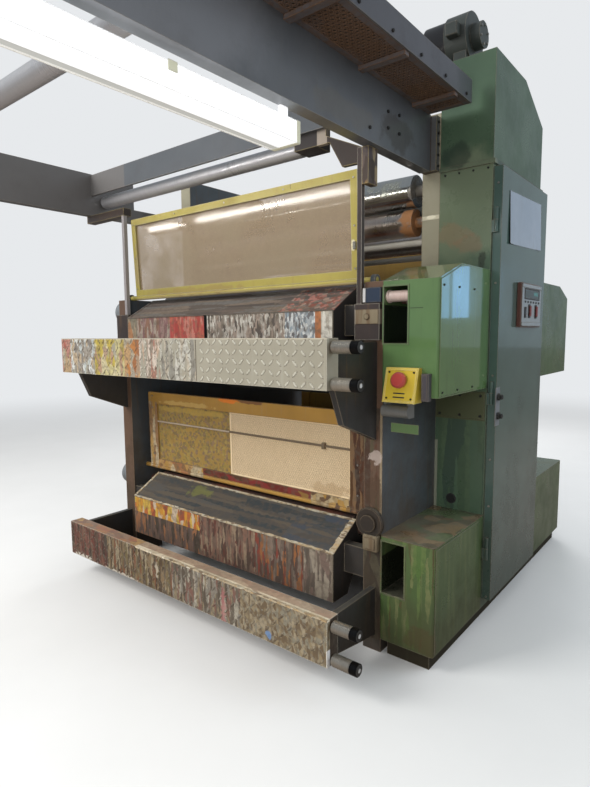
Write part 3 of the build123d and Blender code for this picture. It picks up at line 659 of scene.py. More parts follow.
class Solid:
    """Gathers bevelled forms into one mesh. Sizes and places are machine millimetres."""

    def __init__(self) -> None:
        """Starts an empty mesh."""
        self.mesh = bmesh.new()

    def _take(self, made: Iterable[bmesh.types.BMVert], bevel: float) -> Self:
        """Bevels the sharp edges of the vertices just made.

        Args:
            made: the vertices.
            bevel: width of the new edges.

        Returns:
            This solid.
        """
        if bevel > 0.0:
            verts = set(made)
            edges = [edge for edge in self.mesh.edges if edge.verts[0] in verts and edge.verts[1] in verts]
            sharp = [edge for edge in edges if len(edge.link_faces) == 2 and edge.calc_face_angle(0.0) > SHARP_EDGE]
            bmesh.ops.bevel(self.mesh, geom=sharp, offset=bevel / 1000.0, segments=1, affect="EDGES", profile=0.5)
        return self

    def block(self, low: Point, high: Point, bevel: float = 1.5) -> Self:
        """Adds a box.

        Args:
            low, high: its corners.
            bevel: width of its edges.

        Returns:
            This solid.
        """
        a, b = at(*low), at(*high)
        size = b - a
        place = Matrix.Translation((a + b) / 2) @ Matrix.Diagonal((abs(size.x), abs(size.y), abs(size.z), 1.0))
        return self._take(bmesh.ops.create_cube(self.mesh, size=1.0, matrix=place)["verts"], bevel)

    def blocks(self, bevel: float, *corners: tuple[Point, Point]) -> Self:
        """Adds boxes.

        Args:
            bevel: width of their edges.
            corners: low and high corner of each.

        Returns:
            This solid.
        """
        for low, high in corners:
            self.block(low, high, bevel)
        return self

    def round(
        self, middle: Point, axis: Axis3, radius: float, length: float, segments: int = 24, bevel: float = 1.0,
        tip: float | None = None,
    ) -> Self:
        """Adds a round or many-sided piece.

        Args:
            middle: its centre.
            axis: its direction.
            radius, length: its sizes.
            segments: number of sides.
            bevel: width of the end edges.
            tip: radius at the far end, or None for the same radius.

        Returns:
            This solid.
        """
        turn = Vector(axis.value).to_track_quat("Z", "Y").to_matrix().to_4x4()
        made = bmesh.ops.create_cone(
            self.mesh, cap_ends=True, segments=segments, radius1=radius / 1000.0,
            radius2=(radius if tip is None else tip) / 1000.0, depth=length / 1000.0,
            matrix=Matrix.Translation(at(*middle)) @ turn,
        )["verts"]
        return self._take(made, bevel)

    def _extrude(self, ring: Sequence[Vector], way: Vector, bevel: float) -> Self:
        """Adds a flat form drawn out to a thickness.

        Args:
            ring: its outline in the row frame.
            way: how far it is drawn out.
            bevel: width of its edges.

        Returns:
            This solid.
        """
        verts = [self.mesh.verts.new(place) for place in ring]
        out = bmesh.ops.extrude_face_region(self.mesh, geom=[self.mesh.faces.new(verts)])["geom"]
        moved = [item for item in out if isinstance(item, bmesh.types.BMVert)]
        bmesh.ops.translate(self.mesh, verts=moved, vec=way)
        return self._take(verts + moved, bevel)

    def profile(self, outline: Outline, x0: float, x1: float, bevel: float = 1.0) -> Self:
        """Adds a form drawn in Y and Z, run from x0 to x1."""
        return self._extrude([at(x0, y, z) for y, z in outline], Vector(((x1 - x0) / 1000.0, 0.0, 0.0)), bevel)

    def plate(self, outline: Outline, z0: float, z1: float) -> Self:
        """Adds a flat form drawn in X and Y, from z0 up to z1."""
        return self._extrude([at(x, y, z0) for x, y in outline], Vector((0.0, 0.0, (z1 - z0) / 1000.0)), 0.0)

    def rod(self, start: Point, end: Point, radius: float, sides: int) -> Self:
        """Adds a straight rod.

        Args:
            start, end: its ends.
            radius: its radius.
            sides: number of sides.

        Returns:
            This solid.
        """
        turn = (at(*end) - at(*start)).normalized().to_track_quat("Z", "Y").to_matrix()
        rings = []
        for place in (at(*start), at(*end)):
            angles = [2 * math.pi * step / sides for step in range(sides)]
            offsets = [turn @ Vector((math.cos(angle), math.sin(angle), 0.0)) * (radius / 1000.0) for angle in angles]
            rings.append([self.mesh.verts.new(place + offset) for offset in offsets])
        one, two = rings
        for step in range(sides):
            after = (step + 1) % sides
            self.mesh.faces.new((one[step], one[after], two[after], two[step]))
        self.mesh.faces.new(one[::-1])
        self.mesh.faces.new(two)
        return self

    def turned(self, matrix: Matrix) -> Self:
        """Moves all that is gathered so far.

        Args:
            matrix: how it moves. The faces are turned over when it mirrors them.

        Returns:
            This solid.
        """
        bmesh.ops.transform(self.mesh, matrix=matrix, verts=self.mesh.verts)
        if matrix.determinant() < 0.0:
            bmesh.ops.reverse_faces(self.mesh, faces=self.mesh.faces)
        return self

    def leaned(self, pivot: Point, degrees: float) -> Self:
        """Turns all that is gathered so far about an X axis through a point."""
        centre = Matrix.Translation(at(*pivot))
        return self.turned(centre @ Matrix.Rotation(math.radians(degrees), 4, "X") @ centre.inverted())

    def merge(self, other: Self) -> Self:
        """Takes over what another solid holds.

        Args:
            other: the other solid, which is used up.

        Returns:
            This solid.
        """
        taken = bpy.data.meshes.new("part")
        other.mesh.to_mesh(taken)
        other.mesh.free()
        self.mesh.from_mesh(taken)
        bpy.data.meshes.remove(taken)
        return self

    def data(self, name: str) -> bpy.types.Mesh:
        """Ends the gathering.

        Args:
            name: the new mesh's name.

        Returns:
            The mesh, with its faces looking out.
        """
        bmesh.ops.recalc_face_normals(self.mesh, faces=self.mesh.faces)
        data = bpy.data.meshes.new(name)
        self.mesh.to_mesh(data)
        self.mesh.free()
        return data


class Repeater:
    """Geometry Nodes trees for what repeats, applied to plain meshes."""

    def __init__(self) -> None:
        """Builds the trees."""
        self.heads = self._heads()
        self.lozenges = self._lozenges()
        self.mesh_sheet = self._sheet()

    @staticmethod
    def _open(name: str, inputs: dict[str, object]) -> tuple:
        """A new geometry tree that also takes a way to face and a finish."""
        inputs = {"Geometry": "Geometry", **inputs, "Facing": "Rotation", "Finish": "Material"}
        return Graph.group_tree("Geometry", name, inputs, {"Geometry": "Geometry"})

    @staticmethod
    def _put(g: Graph, given: Sockets, instance: object) -> object:
        """The instance put on every point, looking the given way."""
        inputs = {"Points": given["Geometry"], "Instance": instance, "Rotation": given["Facing"]}
        return g.add("GeometryNodeInstanceOnPoints", inputs).outputs[0]

    @staticmethod
    def _close(g: Graph, geometry: object, finish: object, result: Sockets) -> None:
        """Ends a tree with Realize Instances and Set Material.

        Args:
            g: the tree's graph.
            geometry: what the tree has made.
            finish: the material it gets.
            result: the tree's outputs.
        """
        real = g.add("GeometryNodeRealizeInstances", {0: geometry})
        paint = g.add("GeometryNodeSetMaterial", {"Geometry": real.outputs[0], "Material": finish})
        g.feed(result["Geometry"], paint.outputs[0])

    def _heads(self) -> Tree:
        """Screw or bolt heads on the points of a mesh, each turned by chance.

        Returns:
            The tree.
        """
        inputs = {"Radius": 0.01, "Height": 0.006, "Sides": 6, "Seed": 7}
        tree, g, given, result = self._open("BoltHeads", inputs)
        head = g.add("GeometryNodeMeshCone", {
            "Vertices": given["Sides"], "Radius Bottom": given["Radius"], "Depth": given["Height"],
            "Radius Top": g.times(given["Radius"], 0.9),
        })
        chance = g.add("FunctionNodeRandomValue", data_type="FLOAT_VECTOR")
        g.fill(chance, {0: (0.0, 0.0, 0.0), 1: (0.0, 0.0, 1.05), "Seed": given["Seed"]})
        turned = {"Instances": self._put(g, given, head.outputs["Mesh"]), "Rotation": chance.outputs[0]}
        self._close(g, g.add("GeometryNodeRotateInstances", turned).outputs[0], given["Finish"], result)
        return tree

    def _lozenges(self) -> Tree:
        """Raised chequer marks, turned one way and the other in turn.

        Returns:
            The tree.
        """
        inputs = {"Mark Length": 0.026, "Mark Width": 0.007, "Rise": 0.0016}
        tree, g, given, result = self._open("ChequerMarks", inputs)
        mark = g.add("GeometryNodeMeshCone", {"Vertices": 6, "Radius Bottom": 0.5, "Radius Top": 0.25, "Depth": 1.0})
        size = g.joined(given["Mark Length"], given["Mark Width"], given["Rise"])
        shape = g.add("GeometryNodeTransform", {"Geometry": mark.outputs["Mesh"], "Scale": size})
        odd = g.math("MODULO", g.add("GeometryNodeInputIndex").outputs[0], 2.0)
        turn = g.joined(None, None, g.plus(g.times(odd, math.pi / 2), math.pi / 4))
        turned = {"Instances": self._put(g, given, shape.outputs[0]), "Rotation": turn}
        self._close(g, g.add("GeometryNodeRotateInstances", turned).outputs[0], given["Finish"], result)
        return tree

    def _sheet(self) -> Tree:
        """A perforated sheet from the cell centres of a honeycomb.

        Returns:
            The tree.
        """
        inputs = {"Cell": 0.008, "Hole Share": 0.6, "Thickness": 0.0015}
        tree, g, given, result = self._open("PerforatedSheet", inputs)
        cell = g.add("GeometryNodeMeshCircle", {"Vertices": 6, "Radius": given["Cell"]}, fill_type="NGON")
        cut = g.add("GeometryNodeExtrudeMesh", {"Mesh": cell.outputs[0], "Offset Scale": 0.0}, mode="FACES").outputs
        shrink = g.add("GeometryNodeScaleElements", {0: cut[0], "Selection": cut["Top"], "Scale": given["Hole Share"]})
        ring = g.add("GeometryNodeDeleteGeometry", domain="FACE")
        g.fill(ring, {"Geometry": shrink.outputs[0], "Selection": cut["Top"]})
        real = g.add("GeometryNodeRealizeInstances", {0: self._put(g, given, ring.outputs[0])})
        joined = g.add("GeometryNodeMergeByDistance", {0: real.outputs[0], "Distance": 0.0004}).outputs[0]
        thick = g.add("GeometryNodeExtrudeMesh", mode="FACES")
        g.fill(thick, {"Mesh": joined, "Offset Scale": given["Thickness"], "Individual": False})
        both = g.add("GeometryNodeJoinGeometry", {0: thick.outputs[0]})
        g.feed(both.inputs[0], g.add("GeometryNodeFlipFaces", {0: joined}).outputs[0])
        whole = g.add("GeometryNodeMergeByDistance", {0: both.outputs[0], "Distance": 0.0002})
        self._close(g, whole.outputs[0], given["Finish"], result)
        return tree

    @staticmethod
    def run(tree: Tree, points: Iterable[Point], values: dict[str, object], name: str) -> bpy.types.Mesh:
        """Runs a tree on a cloud of points.

        Args:
            tree: the geometry tree.
            points: places in machine millimetres.
            values: named inputs of the tree.
            name: name of the new mesh.

        Returns:
            A plain mesh with no modifier behind it.
        """
        cloud = bpy.data.meshes.new(name + ".points")
        cloud.from_pydata([tuple(at(*point)) for point in points], [], [])
        holder = bpy.data.objects.new(name + ".holder", cloud)
        bpy.context.scene.collection.objects.link(holder)
        modifier = holder.modifiers.new("Repeat", "NODES")
        modifier.node_group = tree
        for item in tree.interface.items_tree:
            if item.item_type == "SOCKET" and item.in_out == "INPUT" and item.name in values:
                modifier[item.identifier] = values[item.name]
        bpy.context.view_layer.update()
        ready = holder.evaluated_get(bpy.context.evaluated_depsgraph_get())
        data = bpy.data.meshes.new_from_object(ready)
        data.name = name
        bpy.data.objects.remove(holder)
        bpy.data.meshes.remove(cloud)
        return data


# Finishes

TOWER = Paint(
    "tower_green", (72, 122, 78), (55, 96, 62), 0.26, Wear.LIGHT, run=(90, 120, 75), coat=0.3, bump=0.08,
    grime=(30, 34, 20),
    bands=(
        Band((1040, -420, 1100), (1320, -400, 1255), (75, 78, 36), 0.8),
        Band((1040, -420, 2395), (1340, 400, 2417), (30, 52, 40), 0.7),
        # Painted highlight: a near-white strip along the left edge of the tower front, low down.
        Band((1044, -420, 590), (1062, -400, 975), (240, 250, 200), 0.8),
    ),
    messes=(
        Mess((1062, -420, 600), (1320, -400, 1100), ((60, 100, 60), (75, 120, 70), (45, 75, 55)), 0.7, (30, 30, 2), 0,
            (50, 80, 55)),
    ),
    stains_and_sheens=(
        # Painted reflection: a large soft lighter-green patch mid-front, where the gloss shows a sheen.
        StainOrSheen((1200, -406, 2180), (330, 60, 300), (190, 235, 155), 0.7, 0.3, 5),
        StainOrSheen((1120, -406, 2075), (100, 40, 60), (260, 170, 100), 0.45, 0.8, 12),
        StainOrSheen((1215, -406, 2010), (90, 40, 50), (240, 150, 90), 0.45, 0.8, 12),
        StainOrSheen((1282, -406, 1930), (22, 30, 45), (20, 24, 16), 0.7, 0.4, 30),
        StainOrSheen((1140, -406, 2462), (90, 40, 70), (24, 36, 30), 0.6, 0.5, 9),
        StainOrSheen((1140, -1000, 1300), (200, 40, 70), (35, 50, 25), 0.6, 0.8, 9),
    ),
)
UPPER_BOX = Paint(
    "gear_box_green", (110, 195, 75), (85, 160, 62), 0.12, Wear.LIGHT, run=(80, 135, 55), runs=0.35, coat=0.9,
    coat_roughness=0.03, uneven=0.06, bump=0.02, grime=(60, 70, 30), grime_height=1.4,
    bands=(
        # Painted shade: near-black inside the window opening.
        Band((1057, -1004, 1515), (1177, -740, 1690), (8, 10, 9), 0.9),
        Band((1187, -1004, 1669), (1250, -998, 1673), (35, 50, 25), 0.8),
        Band((1320, -593, 1280), (1335, -589, 1870), (30, 50, 30), 0.8),
    ),
    stains_and_sheens=(
        StainOrSheen((1160, -1000, 1330), (90, 30, 60), (60, 65, 30), 0.45, 0.9, 10),
        StainOrSheen((1110, -880, 1840), (120, 60, 40), (220, 220, 150), 0.5, 0.8, 10),
    ),
)
LOWER_BOX = Paint(
    "lower_gear_box_green", (74, 115, 44), (56, 90, 36), 0.26, run=(120, 150, 60), runs=0.5, run_density=0.75,
    bump=0.16, grime=(50, 42, 20),
    # Painted shade: near-black inside the window opening.
    bands=(Band((1057, -1004, 318), (1177, -740, 500), (8, 8, 7), 0.9),),
    messes=(
        Mess((1046, -1010, 90), (1326, -995, 600), ((75, 130, 40), (100, 150, 50), (50, 90, 30), (140, 160, 70),
            (80, 70, 30)), 0.45, (50, 50, 4), 3, (60, 100, 35)),
        Mess((1046, -1010, 596), (1340, -400, 604), ((120, 70, 30), (70, 75, 35), (200, 130, 60), (60, 45, 20)), 0.75,
            (14, 14, 14), 1),
    ),
    stains_and_sheens=(
        StainOrSheen((1120, -900, 600), (150, 100, 16), (120, 60, 25), 0.6, 0.9, 9),
        StainOrSheen((1300, -1000, 140), (120, 40, 70), (75, 45, 20), 0.5, 0.8, 12),
    ),
)
REAR_BOX = Paint(
    "rear_gear_box_green", (70, 115, 45), (50, 88, 36), 0.24, Wear.LIGHT, run=(50, 75, 35), runs=0.4, coat=0.4,
    bump=0.08, grime=(35, 35, 18), grime_height=0.8,
)
DOOR = Paint(
    "door_dark_green", (75, 132, 118), (58, 102, 90), 0.12, run=(80, 110, 80), runs=0.25, coat=0.7,
    # The grime colour and height here make the door darker towards the bottom.
    coat_roughness=0.05, uneven=0.1, bump=0.04, grime=(30, 34, 24), grime_height=1.3,
)
PLINTH = Paint(
    "plinth_black", (20, 22, 14), (12, 13, 8), 0.5, Wear.HEAVY, coat=0, dust=(120, 100, 70), grime=(30, 24, 14),
)
FRAME = Paint(
    "frame_slate", (75, 88, 102), (60, 72, 82), 0.36, Wear.HEAVY, chip=(200, 150, 100), run=(100, 60, 30),
    run_density=0.6, coat=0.2, bump=0.25, grime=(60, 45, 30), grime_height=1.2,
    bands=(
        Band((-1050, -992, 60), (1050, -984, 1801), (130, 70, 40), 0.85),
        Band((-1050, 984, 60), (1050, 992, 1801), (110, 70, 40), 0.8),
        Band((-1050, -412, 1800), (1050, -402, 2701), (360, 340, 250), 0.9),
        Band((-1050, -412, 2165), (1050, -402, 2186), (700, 660, 520), 0.9),
        Band((1034, -996, 60), (1047, -984, 1200), (360, 300, 200), 0.7),
    ),
    messes=(
        Mess((940, -992, 620), (1034, -984, 1210), ((110, 50, 30), (65, 33, 22), (100, 80, 45), (150, 85, 55),
            (50, 36, 28)), 0.8, (45, 45, 3), 2),
        Mess((940, -1010, 60), (1047, -984, 620), ((40, 34, 30), (24, 22, 21), (85, 80, 55), (60, 28, 20),
            (30, 28, 26)), 0.95, (30, 30, 9), 3, (20, 18, 16)),
    ),
    stains_and_sheens=(
        # Painted highlight: a pale spot on the front edge of the right frame.
        StainOrSheen((1012, -985, 975), (40, 12, 32), (500, 420, 380), 0.75, 1, 26),
        StainOrSheen((1010, -985, 800), (50, 12, 90), (60, 35, 20), 0.6, 0.9, 22),
        StainOrSheen((1000, -406, 2178), (30, 12, 10), (900, 860, 700), 0.8, 0.6, 20),
    ),
)
TIES = Paint(
    "tie_grey", (90, 95, 90), (60, 64, 60), 0.4, coat=0.1, run=(50, 40, 30), runs=0.4,
    bands=(
        Band((-950, -330, 2040), (950, -270, 2100), (620, 600, 540), 0.95),
        Band((-950, 270, 2040), (950, 330, 2100), (620, 600, 540), 0.95),
    ),
)
POSTS = Paint(
    "post_brown", (60, 45, 42), (35, 28, 28), 0.4, Wear.HEAVY, chip=(300, 280, 240), run=(140, 80, 40), runs=0.4,
    coat=0.1,
    bands=(
        Band((-1045, -1020, 1700), (-900, -980, 2410), (360, 340, 360), 0.85),
        Band((900, -1020, 1604), (1045, -980, 1672), (300, 250, 190), 0.85),
    ),
)
BEAM = Paint(
    "bridge_slate", (110, 120, 135), (90, 100, 113), 0.32, chip=(240, 230, 210), run=(120, 120, 120), runs=0.25,
    coat=0.3, bump=0.12, grime=(70, 65, 60), grime_height=0,
    bands=(Band((-1310, -2800, 2400), (-900, -400, 2690), (160, 150, 145), 0.7),),
    stains_and_sheens=(
        # Painted reflection: a soft pale blue patch on the near web, where it reflects the windows.
        StainOrSheen((1006, -2500, 2560), (40, 900, 260), (200, 210, 235), 0.6, 0.3, 3),
        StainOrSheen((1006, -1300, 2480), (20, 300, 60), (120, 115, 105), 0.5, 1, 5),
        StainOrSheen((1006, -800, 2500), (20, 180, 90), (50, 45, 42), 0.6, 1, 7),
    ),
)
BRACKET = Paint(
    "bracket_purple_brown", (60, 43, 36), (42, 30, 27), 0.36, Wear.HEAVY, chip=(320, 260, 120), run=(160, 120, 50),
    runs=0.35, coat=0.2,
    bands=(
        Band((1010, -450, 2404), (1045, -400, 2680), (120, 130, 140), 0.8),
        Band((520, -990, 2460), (668, -860, 2610), (35, 30, 30), 0.9),
        Band((668, -990, 2440), (728, -950, 2610), (360, 310, 260), 0.9),
        Band((728, -990, 2340), (980, -950, 2600), (40, 31, 28), 0.7),
    ),
    messes=(
        Mess((930, -1020, 2100), (1060, -920, 2404), ((200, 120, 50), (100, 70, 70), (60, 45, 50), (260, 200, 120)),
            0.6, (30, 30, 12)),
    ),
)
WALKWAY = Paint(
    "walkway_rust", (130, 115, 120), (90, 80, 85), 0.62, Wear.HEAVY, chip=(160, 90, 50), run=(130, 70, 35),
    runs=0.4, run_density=0.8, coat=0, bump=0.4,
    stains_and_sheens=(
        StainOrSheen((1110, -1400, 2685), (90, 240, 20), (140, 75, 40), 0.55, 1, 8),
        StainOrSheen((1120, -700, 2685), (90, 160, 20), (120, 70, 40), 0.55, 1, 9),
    ),
)
FASCIA = Paint("fascia_blue_grey", (85, 88, 105), (66, 70, 84), coat=0.3, run=(90, 80, 70))
UPPER_YELLOW = Paint(
    "upper_guard_yellow", (420, 360, 85), (340, 280, 70), 0.34, chip=(500, 460, 300), run=(300, 200, 80),
    runs=0.35, coat=0.2, bump=0.12, grime=(160, 120, 50), grime_height=0.9,
    bands=(
        Band((486, -1000, 2300), (490, -900, 2330), (100, 80, 40), 0.9),
        Band((-893, -1000, 1790), (893, -900, 1808), (500, 420, 260), 0.6),
    ),
    stains_and_sheens=(
        StainOrSheen((-850, -950, 1990), (50, 40, 160), (340, 270, 140), 0.7, 0.8, 12),
        StainOrSheen((-300, -940, 1830), (500, 40, 26), (300, 200, 80), 0.5, 1, 12),
        StainOrSheen((862, -960, 1980), (16, 30, 30), (800, 740, 550), 0.8, 0.5, 20),
    ),
)
LOWER_YELLOW = Paint(
    "lower_guard_yellow", (440, 250, 55), (360, 200, 40), 0.34, chip=(200, 130, 70), run=(360, 240, 120),
    runs=0.4, run_density=0.55, coat=0.2, bump=0.12, grime=(160, 90, 40), grime_height=0.9,
    bands=(
        Band((-797, -905, 925), (-88, -845, 1010), (500, 420, 340), 0.9),
        Band((-88, -905, 925), (797, -845, 1010), (120, 100, 80), 0.9),
        Band((797, -905, 600), (882, -845, 1086), (65, 28, 14), 0.95),
        Band((882, -905, 600), (900, -845, 1120), (500, 380, 240), 0.9),
    ),
    messes=(
        Mess((-900, -905, 600), (-797, -845, 1100), ((450, 280, 100), (500, 400, 260), (300, 170, 80),
            (400, 300, 200)), 0.8, (40, 40, 6)),
        Mess((797, -905, 600), (882, -845, 1086), ((75, 28, 14), (120, 55, 28), (40, 18, 12), (190, 110, 55)), 0.6,
            (45, 45, 6), 4),
        Mess((-340, -905, 655), (540, -845, 697), ((130, 15, 12), (200, 20, 20), (70, 25, 12), (160, 30, 20)), 0.95,
            (14, 14, 30), 5),
        *across((-905, -845), (625, 697), (
            (540, 797, ((420, 300, 140), (500, 400, 240), (120, 70, 40)), 0.8, (30, 30, 30), 6),
            (-797, -340, ((450, 270, 100), (350, 150, 60), (500, 400, 250), (250, 130, 50)), 0.8, (24, 24, 24), 7),
        )),
    ),
    stains_and_sheens=(
        StainOrSheen((-91, -880, 1160), (90, 40, 20), (750, 200, 20), 0.9, 0.6, 24),
        StainOrSheen((100, -880, 1160), (110, 40, 12), (140, 50, 30), 0.8, 0.8),
        StainOrSheen((-500, -880, 1105), (300, 40, 16), (600, 420, 140), 0.6, 1, 12),
    ),
)
SHEET_OCHRE = Paint(
    "guard_sheet_ochre", (380, 240, 55), (310, 200, 60), 0.42, run=(200, 120, 40), runs=0.4, coat=0.1,
    grime=(140, 80, 40), grime_height=0.8,
    messes=(
        Mess((-800, -905, 697), (-88, -845, 1090), ((300, 220, 60), (240, 170, 70), (360, 260, 80), (270, 180, 100)),
            0.5, (60, 60, 60)),
    ),
    stains_and_sheens=(StainOrSheen((-450, -868, 1060), (360, 20, 26), (500, 340, 70), 0.6, 0.8, 10),),
)
SHEET_CREAM = Paint(
    "guard_sheet_cream", (840, 680, 450), (760, 600, 380), 0.42, Wear.LIGHT, run=(680, 520, 320), coat=0.1,
    grime=(500, 360, 200), grime_height=0.8, chip=(400, 300, 200),
    stains_and_sheens=(StainOrSheen((640, -868, 720), (160, 20, 40), (500, 330, 160), 0.5, 1, 12),),
)
INKS_DARK = (
    (75, 24, 20), (130, 42, 32), (45, 30, 22), (170, 95, 65), (100, 60, 45), (180, 70, 55), (60, 50, 40),
)
INKS_BROWN = (
    (150, 115, 55), (80, 52, 30), (210, 150, 85), (110, 85, 60), (290, 240, 160), (65, 40, 25), (170, 70, 35),
)
INKS_GREY = (
    (220, 200, 170), (360, 330, 270), (130, 110, 85), (250, 200, 130), (180, 95, 75), (90, 72, 55),
)
INKS_BEIGE = (
    (250, 200, 125), (200, 155, 95), (310, 260, 180), (140, 100, 60), (230, 210, 160),
)
BAR_MESSES = (
    *across((-1430, -1400), (1320, 1538), (
        (-1060, -930, ((360, 120, 90), (450, 220, 180), (420, 300, 180), (500, 420, 300)), 0.9, (26, 26, 10)),
        (-930, -660, ((500, 540, 540), (620, 640, 620), (340, 310, 270), (500, 400, 280), (240, 220, 200)), 0.85,
            (45, 45, 18), 1),
        (-660, -360, ((500, 400, 80), (420, 330, 100), (550, 500, 260), (460, 300, 200), (600, 540, 340)), 0.85,
            (32, 32, 14), 2),
        (-360, -220, ((450, 190, 60), (360, 150, 60), (500, 320, 160), (420, 370, 280)), 0.85, (30, 30, 12), 3),
        (-220, -40, ((600, 520, 450), (400, 200, 150), (550, 400, 300), (300, 250, 200)), 0.7, (50, 50, 8), 4),
        (-40, 245, ((520, 510, 460), (260, 250, 220), (480, 430, 350)), 0.5, (50, 50, 9), 5),
    )),
    *across((-1430, -1400), (120, 344.5), (
        (-1060, -620, INKS_DARK, 1, (75, 75, 10), 6),
        (-620, 0, INKS_BROWN, 1, (75, 75, 10), 7),
        (0, 520, INKS_GREY, 1, (75, 75, 12), 8),
        (520, 1060, INKS_BEIGE, 1, (75, 75, 40), 9),
    )),
    *across((-1430, -1330), (344.5, 350), (
        (-1060, -330, ((400, 170, 60), (240, 100, 60), (460, 260, 90), (300, 170, 110), (340, 120, 60)), 1,
            (12, 26, 30), 10),
        (-330, 1060, ((400, 280, 200), (320, 220, 160), (470, 350, 250), (350, 220, 160)), 1, (10, 26, 30), 11,
            (200, 140, 100)),
    )),
    Mess((-330, -1430, 337), (1060, -1398, 352), ((720, 620, 460), (600, 500, 360), (800, 720, 560)), 0.9,
        (24, 60, 60), 14, (400, 300, 200)),
    Mess((1034, -1430, 120), (1060, -1400, 210), ((720, 720, 740), (600, 600, 620)), 1, (9, 9, 9), 15,
        (450, 450, 460)),
    Mess((-1060, -1400, 120), (1060, -1330, 344.5), ((35, 24, 18), (60, 45, 34)), 1, (30, 30, 8), 12),
    Mess((-1060, 1330, 120), (1060, 1430, 350), INKS_BROWN, 1, (60, 60, 8), 13),
    Mess((-1060, 1330, 1320), (0, 1430, 1548), INKS_GREY, 0.6, (50, 50, 9), 14),
)
# The marks are painted lighter than the bar plate: partly their own polish, partly a painted highlight on the raised
# diamonds.
MARKS = Paint(
    "chequer_marks", (580, 570, 490), (480, 470, 400), 0.36, Wear.NONE, run=(400, 380, 330), coat=0.1, bump=0.1,
    messes=BAR_MESSES,
)
BAR = Paint(
    "step_bar_plate", (350, 330, 270), (300, 285, 230), 0.4, chip=(500, 480, 400), run=(420, 410, 350),
    runs=0.35, coat=0.1, bump=0.2, grime=(200, 160, 110), grime_height=0.1, messes=BAR_MESSES,
    bands=(
        Band((-1060, -1405, 1480), (1060, -1330, 1545), (200, 170, 130), 0.8),
        Band((-1060, -1425, 1538), (1060, -1410, 1545), (550, 500, 400), 0.8),
    ),
    stains_and_sheens=(
        StainOrSheen((-890, -1422, 142), (130, 20, 14), (600, 570, 500), 0.85, 0.9, 26),
        StainOrSheen((-460, -1422, 137), (180, 20, 9), (500, 460, 400), 0.85, 0.9, 26),
        StainOrSheen((400, -1422, 220), (24, 20, 110), (360, 150, 150), 0.7, 0.9, 20),
        StainOrSheen((700, -1422, 165), (24, 20, 20), (120, 250, 500), 0.7, 0.6, 24),
        StainOrSheen((-130, -1422, 240), (16, 20, 70), (500, 450, 360), 0.7, 0.9, 24),
    ),
)
TRAY_ENDS = Paint(
    "tray_end_black", (30, 30, 32), (45, 40, 36), 0.45, Wear.HEAVY, chip=(260, 220, 160), run=(120, 70, 45), coat=0.1,
)
CRUST = Paint(
    "ink_crust_cream", (560, 480, 340), (420, 340, 230), 0.5, Wear.NONE, run=(300, 200, 120), runs=0.4, coat=0.1,
    bump=0.5,
    messes=(
        Mess((-1100, -1500, 0), (1100, 1500, 2000), ((550, 500, 380), (420, 300, 160), (620, 580, 480), (200, 140, 90),
            (500, 360, 200)), 0.6, (40, 90, 90)),
    ),
)
ARM_STEEL = Paint(
    "arm_steel", (60, 60, 62), (40, 40, 40), 0.42, Wear.HEAVY, chip=(240, 200, 150), run=(120, 70, 40), runs=0.4,
    coat=0.1, metallic=0.3,
)
STOP_YELLOW = Paint(
    "stop_box_yellow", (720, 560, 50), (600, 440, 40), 0.36, Wear.LIGHT, chip=(750, 680, 350), run=(300, 170, 50),
    runs=0.4, coat=0.2, grime=(140, 90, 40), grime_height=1.6,
)
STOP_RED = Paint(
    "stop_button_red", (560, 90, 80), (420, 50, 45), 0.28, Wear.LIGHT, run=(600, 250, 220), coat=0.4, bump=0.04,
)
JUNCTION = Paint("junction_box_dark", (85, 80, 95), (60, 55, 68), 0.42, run=(120, 100, 100), coat=0.1, bump=0.2)
BLUE_PLASTIC = Paint(
    "guide_block_blue", (30, 48, 85), (22, 34, 60), 0.4, run=(60, 60, 60), runs=0.4, coat=0.15, bump=0.1,
)
GREY_PLASTIC = Paint(
    "plastic_grey", (200, 220, 240), (150, 165, 180), 0.42, run=(90, 70, 50), runs=0.4, coat=0.1, bump=0.2,
)
PANEL_FACE = Paint(
    "panel_face_grey", (300, 330, 340), (250, 280, 300), 0.34, Wear.LIGHT, run=(200, 200, 190), runs=0.2,
    coat=0.2, bump=0.05,
)
PANEL_CASE = Paint("panel_case_brown", (130, 50, 35), (90, 36, 30), 0.36, run=(50, 30, 20), coat=0.2)
DISPLAY = Paint(
    "display_dark_green", (8, 26, 20), (6, 20, 18), 0.1, Wear.LIGHT, run=(10, 30, 24), runs=0.1, coat=0.5,
    bump=0, dust_amount=0,
    bands=(Band((1385, 95, 1765), (1420, 170, 1785), (20, 220, 200), 0.9),),
)
SWITCH_RED = Paint(
    "switch_dark_red", (220, 20, 18), (160, 15, 14), 0.25, Wear.LIGHT, coat=0.3, run=(100, 10, 10), runs=0.1,
    bump=0.03,
)
BLACK_PLASTIC = Paint(
    "plastic_black", (14, 14, 15), (20, 20, 20), 0.4, Wear.LIGHT, coat=0.1, run=(30, 26, 20), chip=(80, 80, 80),
)
PAPER = Paint(
    "notice_sheet", (360, 420, 500), (300, 360, 440), 0.5, Wear.NONE, coat=0.1, run=(240, 250, 250), runs=0.25,
    bump=0.06,
)
MOTOR = Paint(
    "motor_grey_green", (50, 58, 55), (36, 43, 42), 0.34, run=(30, 30, 28), runs=0.35, coat=0.2,
    grime=(25, 25, 20), grime_height=0,
    bands=(Band((1184, -274, 3062), (1192, -214, 3103), (300, 300, 280), 0.7),),
)
COWL = Paint("cowl_black", (12, 12, 15), (18, 18, 20), 0.34, chip=(100, 100, 100), run=(30, 30, 30), coat=0.2)
